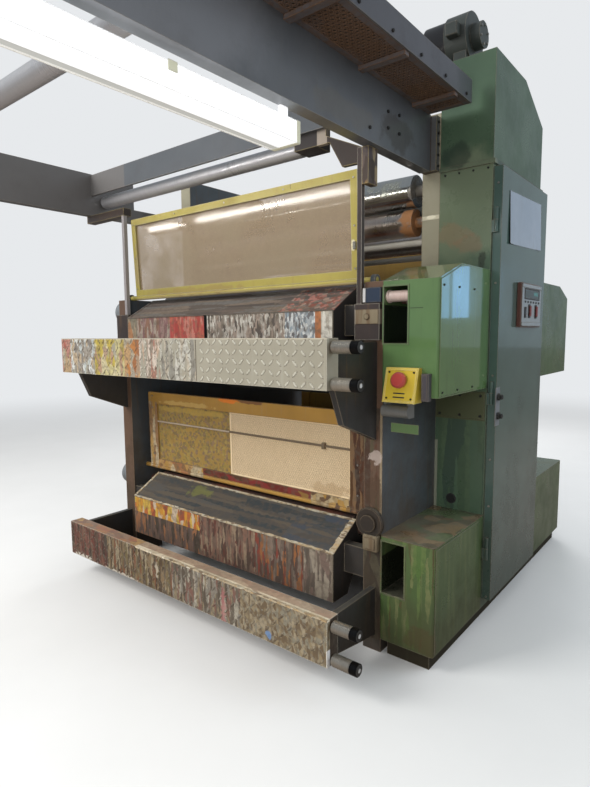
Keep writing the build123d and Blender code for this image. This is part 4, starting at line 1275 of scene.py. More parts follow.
LAMP = Paint(
    "lamp_fitting_white", (950, 970, 1000), (900, 940, 980), 0.35, Wear.NONE, coat=0.2, run=(800, 820, 840),
    runs=0.1, bump=0.03, glow=0.85,
    bands=(
        Band((838, -2745, 2285), (866, -1500, 2294), (340, 350, 330), 0.9),
        Band((820, -2745, 2285), (838, -1500, 2294), (600, 600, 570), 0.9),
    ),
)
WHITE_PLASTIC = Paint(
    "plastic_white", (600, 610, 620), (520, 530, 540), 0.35, Wear.LIGHT, coat=0.2, run=(400, 380, 340), bump=0.05,
)
CHROME = Metal(
    "roller_chrome", (620, 620, 600), (520, 530, 520), 0.1, haze=(300, 260, 160),
    stains_and_sheens=(
        StainOrSheen((500, -318, 2352), (500, 90, 60), (340, 380, 260), 0.35, 1, 5),
        StainOrSheen((920, -330, 2345), (60, 120, 120), (160, 130, 100), 0.7, 0.8, 10),
    ),
)
SECOND = Metal(
    "roller_inked", (550, 500, 460), (450, 400, 370), 0.2, 0.12, haze=(420, 260, 200), hazed=0.5,
    stains_and_sheens=(
        StainOrSheen((860, -350, 2175), (80, 90, 90), (420, 170, 40), 0.85, 0.8),
        StainOrSheen((300, -330, 2190), (400, 90, 40), (400, 220, 200), 0.5, 1, 6),
    ),
)
PLATE = Metal(
    "plate_cylinder_polymer", (340, 120, 45), (260, 90, 35), 0.35, haze=(160, 50, 30), hazed=0.6, metallic=0,
)
ANILOX = Metal("anilox_steel", (300, 280, 270), (220, 200, 200), 0.28, 0.12, haze=(200, 70, 40), hazed=0.6)
FOUNTAIN = Metal("fountain_rubber", (50, 45, 45), (80, 50, 40), 0.4, haze=(300, 80, 40), hazed=0.6, metallic=0)
TRAY = Metal(
    "tray_stainless", (220, 200, 180), (170, 155, 140), 0.34, 0.12, haze=(160, 130, 100), hazed=0.6,
    metallic=0.7,
    bands=(Band((-79, -1080, 1400), (-54, -1070, 1672), (12, 12, 12)),),
    messes=(
        *across((-1080, -1070), (1400, 1669), (
            (-880, -723, ((350, 280, 200), (220, 200, 150), (400, 200, 100)), 0.9, (50, 50, 8)),
            (-723, -387, ((220, 120, 120), (300, 200, 180), (250, 140, 100), (360, 300, 250)), 0.95, (60, 60, 12), 1),
            (-387, -79, ((420, 80, 70), (500, 200, 160), (350, 60, 50), (450, 120, 80)), 0.95, (60, 60, 14), 2),
            (-54, 529, ((400, 370, 330), (550, 530, 480), (200, 170, 140), (300, 240, 200), (100, 85, 75)), 0.95,
                (95, 95, 24), 3),
            (529, 719, ((250, 300, 340), (600, 620, 620), (150, 150, 160), (350, 380, 400)), 0.95, (95, 95, 45), 4),
            (719, 755, ((500, 250, 120), (400, 160, 70)), 1, (50, 50, 9)),
            (755, 830, ((600, 580, 520), (450, 420, 360)), 1, (50, 50, 9)),
        )),
        *across((-1072, -855), (1672, 1800), (
            (-830, 830, ((140, 110, 95), (110, 90, 80), (190, 150, 120), (85, 70, 65), (150, 140, 130)), 1,
                (3, 36, 36), 5),
            (480, 830, ((360, 160, 130), (220, 80, 60), (300, 210, 170), (140, 100, 90)), 0.6, (45, 45, 45), 6),
        )),
        *across((-1072, -855), (475, 620), (
            (-830, 830, ((55, 60, 62), (80, 78, 74), (100, 86, 70), (42, 50, 55), (70, 65, 60)), 1, (3, 40, 40), 7),
            (480, 800, ((55, 66, 85), (60, 65, 70), (80, 86, 90)), 0.5, (6, 40, 40), 8),
        )),
        Mess((-830, -1080, 372), (-165, -1070, 472), ((500, 240, 40), (550, 360, 70), (420, 130, 40), (300, 80, 40),
            (500, 400, 300)), 0.95, (40, 40, 12), 9),
        Mess((-830, -1080, 215), (-165, -1070, 372), ((60, 45, 35), (100, 70, 60), (140, 90, 70), (260, 120, 60)),
            0.95, (75, 75, 11), 10),
        *across((-1080, -1070), (215, 472), (
            (-165, 300, ((80, 50, 40), (160, 105, 80), (260, 190, 130), (120, 45, 35), (200, 110, 80)), 0.95,
                (75, 75, 11), 11),
            (300, 640, ((200, 50, 35), (100, 50, 40), (130, 100, 80), (270, 110, 45), (80, 55, 45), (200, 150, 120)),
                0.95, (75, 75, 9), 12),
            (640, 830, ((200, 165, 130), (130, 100, 80), (280, 240, 190), (100, 80, 65), (170, 120, 100)), 0.95,
                (70, 70, 11), 13),
        )),
        Mess((-830, 850, 215), (830, 1080, 2000), INKS_BROWN, 0.8, (40, 40, 8), 14),
    ),
    stains_and_sheens=(StainOrSheen((-325, -930, 552), (115, 62, 60), (170, 180, 50), 0.6, 1.3, 9),),
)
ALUMINIUM = Metal(
    "knob_aluminium", (550, 510, 450), (450, 420, 360), 0.26, 0.16, haze=(340, 260, 170), hazed=0.4,
    metallic=0.9,
    bands=(Band((1139, -1500, 0), (1180, 1500, 1700), (16, 16, 17)),),
)
BRIGHT = Metal(
    "screw_steel", (500, 490, 470), (400, 390, 370), 0.25, haze=(200, 130, 80), hazed=0.4, metallic=0.9,
)
DARK_SCREW = Metal("screw_black", (30, 30, 32), (45, 45, 45), 0.35, haze=(60, 50, 40), metallic=0.6)
PIVOT = Metal(
    "pivot_steel", (600, 570, 500), (500, 470, 400), 0.2, 0.14, haze=(400, 300, 160), hazed=0.4, metallic=0.95,
)
# Painted highlight: the shaft in the upper window is pale where light falls into the window.
SLEEVE_HIGHLIGHT = Metal("sleeve_painted_highlight", (720, 640, 600), (600, 440, 400), 0.18, haze=(500, 300, 260), metallic=0.3)
WEB_ROLLER = Metal(
    "web_roller_grey", (600, 610, 640), (500, 510, 550), 0.22, haze=(360, 340, 330), hazed=0.4, metallic=0.55,
)
TANK = Metal(
    "cylinder_grey", (320, 330, 330), (250, 260, 260), 0.28, haze=(200, 180, 150), hazed=0.35, metallic=0.7,
)
TINTED = Clear("guard_clear_tan", (400, 310, 215), (310, 250, 170), body=0.5, mist=0.34)
HOUSING = Paint(
    "roller_housing_greasy", (20, 17, 15), (34, 26, 20), 0.32, Wear.HEAVY, chip=(120, 90, 60), run=(60, 36, 20),
    runs=0.5, coat=0.3, bump=0.4,
)
WALKWAY_TOP = Paint(
    "walkway_dark", (20, 18, 18), (32, 24, 20), 0.6, Wear.HEAVY, chip=(80, 50, 30), run=(60, 30, 20), runs=0.4,
    coat=0, bump=0.3,
)
LAMP_CAP = Paint(
    "lamp_cap_cream", (550, 550, 420), (450, 450, 340), 0.4, Wear.LIGHT, coat=0.2, run=(300, 270, 200), bump=0.06,
    # Painted light: the glow makes the end caps shine as if lit from within.
    chip=(400, 400, 400), glow=0.35,
)
BLOCKS = Paint(
    "bearing_block_beige", (260, 220, 150), (190, 155, 100), 0.45, Wear.HEAVY, chip=(100, 70, 45), run=(130, 70, 35),
    runs=0.6, run_density=0.7, coat=0.05, bump=0.3, grime=(70, 50, 30), grime_height=1,
)

NODE_FINISH: dict[Finish, str] = {
    TOWER: "gear_case gear_case_top",
    UPPER_BOX: "upper_front_gear_box",
    LOWER_BOX: "lower_front_gear_box",
    REAR_BOX: "rear_gear_boxes",
    DOOR: "gear_case_door gear_case_door_hinges",
    PLINTH: "base_plinth",
    FRAME: "side_frame_right side_frame_left",
    TIES: "cross_ties",
    POSTS: "guard_posts",
    BEAM: "bridge_beams bridge_cross_ties",
    BRACKET: "bridge_brackets",
    WALKWAY: "walkway_plate",
    FASCIA: "walkway_rail",
    UPPER_YELLOW: "upper_front_guard_frame",
    LOWER_YELLOW: "lower_front_guard_frame rear_guard_frames",
    BAR: "step_bars",
    TRAY_ENDS: "ink_tray_ends",
    ARM_STEEL: "bar_arms",
    STOP_YELLOW: "stop_button_box",
    STOP_RED: "stop_button",
    GREY_PLASTIC: "fountain_motors",
    JUNCTION: "junction_box",
    MOTOR: "motor_body",
    COWL: "motor_cowl",
    LAMP: "lamp_fitting",
    CHROME: "front_top_roller impression_cylinders",
    WEB_ROLLER: "bridge_roller_rear bridge_roller_front",
    SECOND: "front_second_roller rear_web_rollers",
    PLATE: "plate_cylinders",
    ANILOX: "anilox_rollers",
    FOUNTAIN: "upper_front_fountain_roller lower_front_fountain_roller rear_fountain_rollers",
    TRAY: "ink_trays",
    ALUMINIUM: "rear_bar_knobs upper_bar_knob_high upper_bar_knob_low lower_bar_knob_high lower_bar_knob_low",
    TANK: "air_cylinder",
}


class PaintShop:
    """Keeps one material for each finish and dresses the CAD nodes."""

    def __init__(self, effects: Effects) -> None:
        """Keeps the shared shader groups."""
        self.effects = effects
        self.made: dict[str, Material] = {}

    def get(self, finish: Finish) -> Material:
        """The finish's material, made once.

        Args:
            finish: the finish.

        Returns:
            Its material.
        """
        if finish.name not in self.made:
            self.made[finish.name] = finish.build(self.effects)
        return self.made[finish.name]

    def dress(self) -> None:
        """Gives every CAD node its finish."""
        for finish, names in NODE_FINISH.items():
            for name in names.split():
                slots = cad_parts[name].data.materials
                slots.clear()
                slots.append(self.get(finish))
                LOG.info("node %s: %s", name, finish.name)


# Sub-assemblies


@dataclass
class Dress:
    """What every sub-assembly needs: finishes, repeaters and ways to make a piece."""

    shop: PaintShop
    repeat: Repeater

    def put(
        self, shape: Solid | bpy.types.Mesh, name: str, slot: str, finish: Finish, body: str = "frame",
        smooth: bool = False,
    ) -> bpy.types.Object:
        """Puts a piece into the scene.

        Args:
            shape: what it is made of.
            name: its name.
            slot: the record's material slot; not used.
            finish: its finish.
            body: the CAD body that it rides on.
            smooth: whether round faces are shaded smooth.

        Returns:
            The piece.
        """
        data = shape.data(name) if isinstance(shape, Solid) else shape
        data.materials.clear()
        data.materials.append(self.shop.get(finish))
        piece = bpy.data.objects.new(name, data)
        bpy.context.scene.collection.objects.link(piece)
        if smooth:
            data.polygons.foreach_set("use_smooth", [True] * len(data.polygons))
            data.set_sharp_from_angle(angle=SMOOTH_BELOW)
        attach(piece, body)
        LOG.info("piece %s on %s", name, body)
        return piece

    def grow(
        self, tree: Tree, points: Iterable[Point], name: str, slot: str, finish: Finish, normal: Vector,
        body: str = "frame", smooth: bool = False, **values: object,
    ) -> bpy.types.Object:
        """Puts a piece into the scene that a geometry tree grows from points.

        Args:
            tree: the geometry tree.
            points: where it grows, in machine millimetres.
            name, slot, finish, body, smooth: as for put.
            normal: the way it looks.
            values: the tree's other inputs, with underscores for spaces.

        Returns:
            The piece.
        """
        named = {key.replace("_", " "): value for key, value in values.items()}
        named |= {"Facing": facing(normal), "Finish": self.shop.get(finish)}
        return self.put(Repeater.run(tree, points, named, name), name, slot, finish, body, smooth)

    def sheet(
        self, points: Iterable[Point], pitch: float, share: float, thickness: float, name: str, slot: str,
        finish: Finish, normal: Vector, body: str = "frame",
    ) -> bpy.types.Object:
        """Puts a perforated sheet into the scene.

        Args:
            points: middles of its holes, from honeycomb().
            pitch: distance between holes in millimetres.
            share: hole size as a share of a cell.
            thickness: its thickness in metres.
            name, slot, finish, normal, body: as for grow.

        Returns:
            The piece.
        """
        cell = pitch / math.sqrt(3.0) / 1000.0
        return self.grow(self.repeat.mesh_sheet, points, name, slot, finish, normal, body,
                         Cell=cell, Hole_Share=share, Thickness=thickness)

    def heads(
        self, name: str, finish: Finish, places: Sequence[Point], normal: Axis3 | Vector, radius: float = 9.0,
        height: float = 6.0, sides: int = 6, flip: bool = False, body: str = "frame",
    ) -> None:
        """Puts bolt or screw heads into the scene.

        Args:
            name: the piece's name.
            finish: the finish of the heads.
            places: seats of the heads in machine millimetres.
            normal: the way the heads look.
            radius, height: size of a head in millimetres.
            sides: six for a hex head, more for a round one.
            flip: whether the heads look the other way.
            body: the CAD body that they ride on.
        """
        way = Vector(normal.value) if isinstance(normal, Axis3) else normal
        self.grow(self.repeat.heads, places, name, "dark_steel", finish, -way if flip else way, body,
                  sides > SMOOTH_SIDES, Radius=radius / 1000.0, Height=height / 1000.0, Sides=sides, Seed=HEAD_SEED)


@dataclass
class GearCaseDress(Dress):
    """Seams, screws, control panel face and fittings on the gear case."""

    front: float = -406.0
    side: float = 1326.0
    door_face: float = 1371.5
    box_front: float = -1000.0
    cover: float = 4.0
    door_body: str = "side_door"

    def bolts(self) -> None:
        """Flange bolts of the top and screws of the box covers."""
        flange = [(self.side, y, 2372) for y in evenly(-370, 370, 5)]
        self.heads("case_flange_bolts", DARK_SCREW, flange, Axis3.X, 8, 7)
        front = [(x, self.front, 2378) for x in evenly(1075, 1300, 4)]
        self.heads("case_front_bolts", DARK_SCREW, front, Axis3.Y, 6, 5, flip=True)
        high = [(self.side + self.cover, y, z) for y in (-965, -800, -622) for z in (1300, 1766)]
        self.heads("upper_cover_screws", DARK_SCREW, high, Axis3.X, 5, 4, 12)
        edge = [(1350, -394, z) for z in (150, 650, 900, 1340, 1810, 2300)]
        self.heads("door_edge_screws", BRIGHT, edge, Axis3.Y, 6, 4, 12, True, self.door_body)

    def covers(self) -> None:
        """Side covers of the two front gear boxes."""
        upper = [(-992, 1284), (-598, 1284), (-598, 1868), (-768, 1868), (-992, 1790)]
        lower = [(-988, 92), (-470, 92), (-470, 588), (-988, 588)]
        for deck, outline, finish in (("upper", upper, UPPER_BOX), ("lower", lower, LOWER_BOX)):
            cover = Solid().profile(outline, self.side, self.side + self.cover, 1.5)
            self.put(cover, f"{deck}_gear_box_cover", "green", finish)

    def window_trims(self) -> None:
        """Rims round the two front windows, and collars on the journals inside."""
        y0, y1 = self.box_front - 3, self.box_front
        for deck, z0, z1, middle, finish in (
            ("upper", 1516, 1770, 1725, UPPER_BOX), ("lower", 320, 574, 528, LOWER_BOX),
        ):
            rim = Solid().blocks(
                0.8, ((1050, y0, z0 - 8), (1184, y1, z0)), ((1050, y0, z1), (1184, y1, z1 + 8)),
                ((1050, y0, z0), (1058, y1, z1)), ((1176, y0, z0), (1184, y1, z1)),
            )
            self.put(rim, f"{deck}_window_rim", "green", finish)
            if deck == "upper":
                # A pale shaft across the upper window; its pale finish is a painted highlight.
                shaft = Solid().round((1117, -962, 1729), Axis3.X, 26, 134, 36)
                self.put(shaft.round((1066, -962, 1729), Axis3.X, 30, 10, 36), "upper_window_shaft", "chrome", SLEEVE_HIGHLIGHT,
                         smooth=True)
            collar = Solid().round((1100, -815, middle), Axis3.X, 38, 26, 32, 2)
            collar.round((1142, -815, middle), Axis3.X, 31, 14, 6)
            self.put(collar, f"{deck}_journal_collar", "chrome", PIVOT, f"{deck}_fountain", True)

    def notice(self) -> None:
        """A blank sheet on the door, slightly curled at its ends."""
        sheet = Solid()
        across, down, thick = 16, 9, 1.2
        front, rear = [], []
        for row in range(down + 1):
            for column in range(across + 1):
                u, v = column / across, row / down
                y = -287 + 548 * u + 6 * v
                z = 2280 + 22 * u - 264 * v
                curl = max(5.0 * (abs(2 * u - 1) ** 6) * (0.3 + v) + 1.6 * math.sin(5.0 * u + 2.0) * v, 0.0)
                rear.append(sheet.mesh.verts.new(at(self.door_face + 0.4 + curl, y, z)))
                front.append(sheet.mesh.verts.new(at(self.door_face + 0.4 + thick + curl, y, z)))
        wide = across + 1
        for row in range(down):
            for column in range(across):
                a = row * wide + column
                sheet.mesh.faces.new((front[a], front[a + wide], front[a + wide + 1], front[a + 1]))
                sheet.mesh.faces.new((rear[a], rear[a + 1], rear[a + wide + 1], rear[a + wide]))
        loop = list(range(wide)) + [r * wide + across for r in range(1, down + 1)]
        loop += [down * wide + c for c in range(across - 1, -1, -1)] + [r * wide for r in range(down - 1, 0, -1)]
        for one, two in zip(loop, loop[1:] + loop[:1]):
            sheet.mesh.faces.new((front[one], front[two], rear[two], rear[one]))
        self.put(sheet, "door_notice", "lamp_white", PAPER, self.door_body, True)

    def knob_plate(self) -> None:
        """Rounded grey plate with two black knobs on the front edge of the door: a pale patch there, partly wear and
        partly painted reflection.
        """
        x = self.door_face
        plate = Solid().block((x, -414, 1080), (x + 5, -352, 1280))
        self.put(plate, "knob_plate", "grey_plastic", GREY_PLASTIC, self.door_body)
        knobs = Solid()
        for z in (1231, 1133):
            knobs.round((x + 10, -384, z), Axis3.X, 19, 10, 28, 1.5).round((x + 22, -384, z), Axis3.X, 14, 15, 8, 2)
        self.put(knobs, "door_knobs", "dark_steel", BLACK_PLASTIC, self.door_body, True)

    def panel_face(self) -> None:
        """Bezel, display, switches and keys of the control panel."""
        low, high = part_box("control_panel")
        x = self.door_face + 24
        y0, y1 = low.y * 1000 + MIDDLE_Y, high.y * 1000 + MIDDLE_Y
        z0, z1 = low.z * 1000, high.z * 1000
        case = Solid().block((self.door_face, y0, z0), (x, y1, z1), 3)
        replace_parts(self.put(case, "panel_case", "grey_plastic", PANEL_CASE, self.door_body), "control_panel")
        y0, y1, z0, z1 = y0 + 6, y1 - 6, z0 + 6, z1 - 6
        face = Solid().block((x, y0, z0), (x + 3, y1, z1), 1.2)
        face.blocks(1.5, ((x, y0, z1 - 20), (x + 6, y1, z1)), ((x, y0, z0), (x + 6, y1, z0 + 20)))
        self.put(face, "panel_face", "grey_plastic", PANEL_FACE, self.door_body)
        rim = Solid().blocks(
            1, ((x + 3, -66, 1742), (x + 6, 196, 1748)), ((x + 3, -66, 1796), (x + 6, 196, 1802)),
            ((x + 3, -72, 1742), (x + 6, -66, 1802)), ((x + 3, 196, 1742), (x + 6, 202, 1802)),
        )
        self.put(rim, "display_rim", "dark_steel", BLACK_PLASTIC, self.door_body)
        glass = Solid().block((x + 3, -66, 1748), (x + 4.5, 196, 1796), 0.5)
        self.put(glass, "panel_display", "dark_green", DISPLAY, self.door_body)
        switches, keys = Solid(), Solid()
        for y in (20, 140):
            keys.block((x + 3, y - 20, 1640), (x + 6, y + 20, 1716), 2)
            switches.block((x + 6, y - 13, 1648), (x + 14, y + 13, 1708), 3)
        for y in evenly(-60, 190, 6):
            keys.round((x + 5, y, 1728), Axis3.X, 6, 5, 16, 0.8)
        keys.block((x + 3, -70, 1640), (x + 7, -40, 1700), 2)
        self.put(switches, "panel_switches", "stop_red", SWITCH_RED, self.door_body)
        self.put(keys, "panel_keys", "dark_steel", BLACK_PLASTIC, self.door_body)

    def strap(self) -> None:
        """Bolted strap across the front between the boxes, with a plug below it."""
        y = self.front
        self.put(Solid().block((1052, y - 5, 1108), (1318, y, 1250), 2), "case_strap", "green", TOWER)
        points = [(x, y - 5, z) for x in (1074, 1185, 1296) for z in (1126, 1232)]
        self.heads("strap_bolts", DARK_SCREW, points, Axis3.Y, 8, 6, flip=True)
        plug = Solid().round((1147, y - 2, 659), Axis3.Y, 28, 8, 36, 2)
        self.put(plug, "case_plug", "dark_steel", BLACK_PLASTIC, smooth=True)

    def build(self) -> None:
        """Builds every piece."""
        for step in (self.bolts, self.covers, self.window_trims, self.notice, self.knob_plate, self.panel_face,
                     self.strap):
            step()


@dataclass
class GuardDress(Dress):
    """Perforated or clear sheets, latch and screws of the guards."""

    pivots: dict[str, tuple[float, float, float]] = field(
        default_factory=lambda: {"upper": (-936.0, 1812.0, 2.7), "lower": (-866.0, 640.0, 0.6)}
    )

    def local(self, which: str, x: float, y: float, h: float) -> Point:
        """A place on a guard.

        Args:
            which: upper or lower guard.
            x, y, h: how far across, out of its plane, and up from its pivot.

        Returns:
            The place in machine millimetres.
        """
        py, pz, lean = self.pivots[which]
        turn = math.radians(lean)
        return (x, py + y * math.cos(turn) - h * math.sin(turn), pz + y * math.sin(turn) + h * math.cos(turn))

    def slab(self, which: str, bevel: float, *corners: tuple[Point, Point]) -> Solid:
        """Leaning boxes on a guard.

        Args:
            which: upper or lower guard.
            bevel: width of their edges.
            corners: low and high corner of each, across, out and up from the pivot.

        Returns:
            The boxes.
        """
        py, pz, lean = self.pivots[which]
        slabs = Solid()
        for low, high in corners:
            part = Solid().block((low[0], py + low[1], pz + low[2]), (high[0], py + high[1], pz + high[2]), bevel)
            slabs.merge(part.leaned((0, py, pz), lean))
        return slabs

    def sheets(self) -> None:
        """The upper guard's clear pane and the lower guard's sheets."""
        pane = self.slab("upper", 0, ((-850, -1.5, 52), (850, 1.5, 474)))
        pane = self.put(pane, "upper_guard_pane", "panel_sheet", TINTED, "upper_guard")
        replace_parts(pane, "upper_front_guard_panel")
        left = self.slab("lower", 0.5, ((-797, -2.5, 57), (-88, 0.5, 446)))
        left = self.put(left, "lower_guard_sheet_left", "panel_sheet", SHEET_OCHRE, "lower_guard")
        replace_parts(left, "lower_front_guard_panel")
        lean = math.radians(self.pivots["lower"][2])
        holes = [self.local("lower", x, 1, h) for x, h in honeycomb(-80, 790, 62, 442, GUARD_PITCH)]
        self.sheet(holes, GUARD_PITCH, 0.4, 0.002, "lower_guard_sheet_right", "panel_sheet", SHEET_CREAM,
                   Vector((0, -math.cos(lean), -math.sin(lean))), "lower_guard")
        backing = self.slab("lower", 0.3, ((-88, 1.2, 57), (797, 2.4, 446)))
        self.put(backing, "lower_guard_sheet_backing", "panel_sheet", SHEET_CREAM, "lower_guard")
        hem = self.slab(
            "lower", 0.6, ((-92, -3, 57), (-76, 2, 446)), ((-80, -3, 55), (797, 2, 68)),
            ((-80, -3, 436), (797, 2, 447)), ((786, -3, 57), (797, 2, 446)),
        )
        self.put(hem, "lower_guard_sheet_hem", "panel_sheet", SHEET_CREAM, "lower_guard")

    def rear_sheets(self) -> None:
        """The rear guards' sheets, mirrored through the plane between the front and the rear decks."""
        middle = Matrix.Translation(at(0, 0, 0))
        mirror = middle @ Matrix.Diagonal((1.0, -1.0, 1.0, 1.0)) @ middle.inverted()
        rear = Solid()
        for which, x, h0, h1 in (("upper", 850, 52, 474), ("lower", 797, 57, 446)):
            rear.merge(self.slab(which, 0.5, ((-x, -1.5, h0), (x, 1.5, h1))).turned(mirror))
        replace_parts(self.put(rear, "rear_guard_sheets", "panel_sheet", SHEET_OCHRE), "rear_guard_panels")

    def build(self) -> None:
        """Builds every piece."""
        self.sheets()
        self.rear_sheets()
        latch = self.slab("upper", 2, ((862, -22, 150), (880, -12.5, 186)))
        self.put(latch, "upper_guard_latch", "chrome", PIVOT, "upper_guard")
        screws = [self.local("upper", x, -12.5, h) for x in (-870, 870) for h in (60, 260, 480)]
        screws += [self.local("upper", x, -12.5, 494) for x in (-440, 0, 440)]
        self.heads("upper_guard_screws", BRIGHT, screws, Axis3.Y, 5, 3, 12, True, "upper_guard")
        screws = [self.local("lower", x, -12.5, h) for x in (-845, 845) for h in (90, 250, 420, 500)]
        self.heads("lower_guard_screws", BRIGHT, screws, Axis3.Y, 6, 3, 12, True, "lower_guard")


@dataclass
class DeckDress(Dress):
    """Chequer marks, joints, knob caps and small fittings of the decks."""

    bar_front: float = -1422.0
    bar_low: float = 132.0
    bar_high: float = 346.0
    bar_end: float = 1018.0
    mark_pitch: float = 45.0
    mark_rows: int = 5
    joint: float = 245.0
    tray_slope: float = math.degrees(math.atan2(123.0, 211.0))

    def chequer(self, name: str, level: float, face: float) -> None:
        """Raised marks on a bar's front.

        Args:
            name: the piece's name.
            level: height of its deck.
            face: Y of the plate; its sign says which way it looks.
        """
        heights = [
            self.bar_low + 18 + row * (self.bar_high - self.bar_low - 36) / (self.mark_rows - 1)
            for row in range(self.mark_rows)
        ]
        columns = int(2 * self.bar_end / self.mark_pitch) + 1
        places = [-self.bar_end + column * self.mark_pitch for column in range(columns)]
        points = [(x, face, level + z) for x in places if abs(x - self.joint) > 12 for z in heights]
        self.grow(self.repeat.lozenges, points, name, "bar", MARKS, Vector((0, face, 0)),
                  Mark_Length=0.046, Mark_Width=0.0145, Rise=0.003 if face < 0 else 0.0004)

    @staticmethod
    def ragged(place: float, least: float, spread: float) -> float:
        """An uneven width, the same each time for the same place."""
        wave = math.sin(place * 0.113) + math.sin(place * 0.317 + 1.3) + math.sin(place * 0.071 + 4.0)
        return least + spread * (wave + 3.0) / 6.0

    def crusts(self) -> None:
        """Dried ink along the rims of the trays and the edge of the lower bar."""
        for deck, level in DECKS:
            rim = Solid()
            along = evenly(-822, 822, 90)
            outline = [(x, -1076.0) for x in along] + [(x, -1074 + self.ragged(x, 9, 7)) for x in along[::-1]]
            rim.plate(outline, level + 470, level + 475)
            for side in (-1, 1):
                up, least = evenly(0, 243, 22), 24 if side > 0 else 8
                outline = [(side * 828.0, -1074 + s) for s in up]
                outline += [(side * (824 - self.ragged(s + 40 * side, least, 12)), -1074 + s) for s in up[::-1]]
                rim.plate(outline, level + 471, level + 475.5)
            outline = [(x, -831.0) for x in along] + [(x, -833 - self.ragged(x + 11, 8, 6)) for x in along[::-1]]
            rim.plate(outline, level + 471, level + 476).leaned((0, -1074, level + 472), self.tray_slope)
            self.put(rim, f"{deck}_tray_ink_rim", "tray", CRUST if deck == "lower" else TRAY)
        along = evenly(-60, 1037, 70)
        outline = [(x, -1424.0) for x in along] + [(x, -1420 + self.ragged(x + 5, 4, 4)) for x in along[::-1]]
        self.put(Solid().plate(outline, 338, 348), "lower_bar_ink_edge", "bar", CRUST)

    def joints(self) -> None:
        """Cover strips over the joints in the upper and lower front plates."""
        strips = Solid()
        for _, level in DECKS:
            strips.block((self.joint - 2, self.bar_front - 1.5, level + self.bar_low + 4),
                         (self.joint + 2, self.bar_front, level + self.bar_high - 6), 0.4)
        self.put(strips, "bar_plate_joints", "bar", TRAY_ENDS)

    def knob_caps(self) -> None:
        """Eight-sided black caps with white centres on the front knobs."""
        for deck, level in DECKS:
            for z, end in ((310, "high"), (158, "low")):
                body, name = f"knob_{deck}_{end}", f"{deck}_{end}_knob_"
                cap = Solid().round((1175.5, -1385, level + z), Axis3.X, 25, 3, 8)
                self.put(cap, name + "cap", "dark_steel", BLACK_PLASTIC, body)
                dot = Solid().round((1177.5, -1385, level + z), Axis3.X, 10, 1.2, 24, 0.3)
                self.put(dot, name + "dot", "lamp_white", WHITE_PLASTIC, body, True)
                rings = Solid()
                for x in evenly(1056, 1130, 8):
                    rings.round((x, -1385, level + z), Axis3.X, 28, 4, 32, 0.8)
                self.put(rings, name + "grip", "aluminium", ALUMINIUM, body, True)

    def bearings(self) -> None:
        """Greasy roller housing and bearing blocks at the right ends of the rollers."""
        hub = Solid().round((990, -999, 652), Axis3.Y, 74, 28, 32, 5)
        hub.round((990, -1019, 652), Axis3.Y, 44, 14, 24, 4, 36).block((926, -1011, 600), (1046, -985, 664), 7)
        self.put(hub, "lower_roller_housing", "frame_paint", HOUSING, smooth=True)
        lower = Solid().block((962, -1024, 516), (1044, -985, 596), 5).block((974, -1029, 528), (1032, -1024, 584), 2)
        self.put(lower, "lower_bearing_block", "frame_paint", BLOCKS)
        upper = Solid().block((914, -1016, 1604), (1036, -1012, 1672))
        upper.round((975, -1018, 1638), Axis3.Y, 15, 8, 6, 1.5)
        self.put(upper, "upper_bearing_block", "frame_paint", BLOCKS)

    def build(self) -> None:
        """Builds every piece."""
        for deck, level in DECKS:
            self.chequer(f"{deck}_front_bar_marks", level, self.bar_front)
            self.chequer(f"{deck}_rear_bar_marks", level, -self.bar_front)
        self.joints()
        self.crusts()
        self.knob_caps()
        self.bearings()


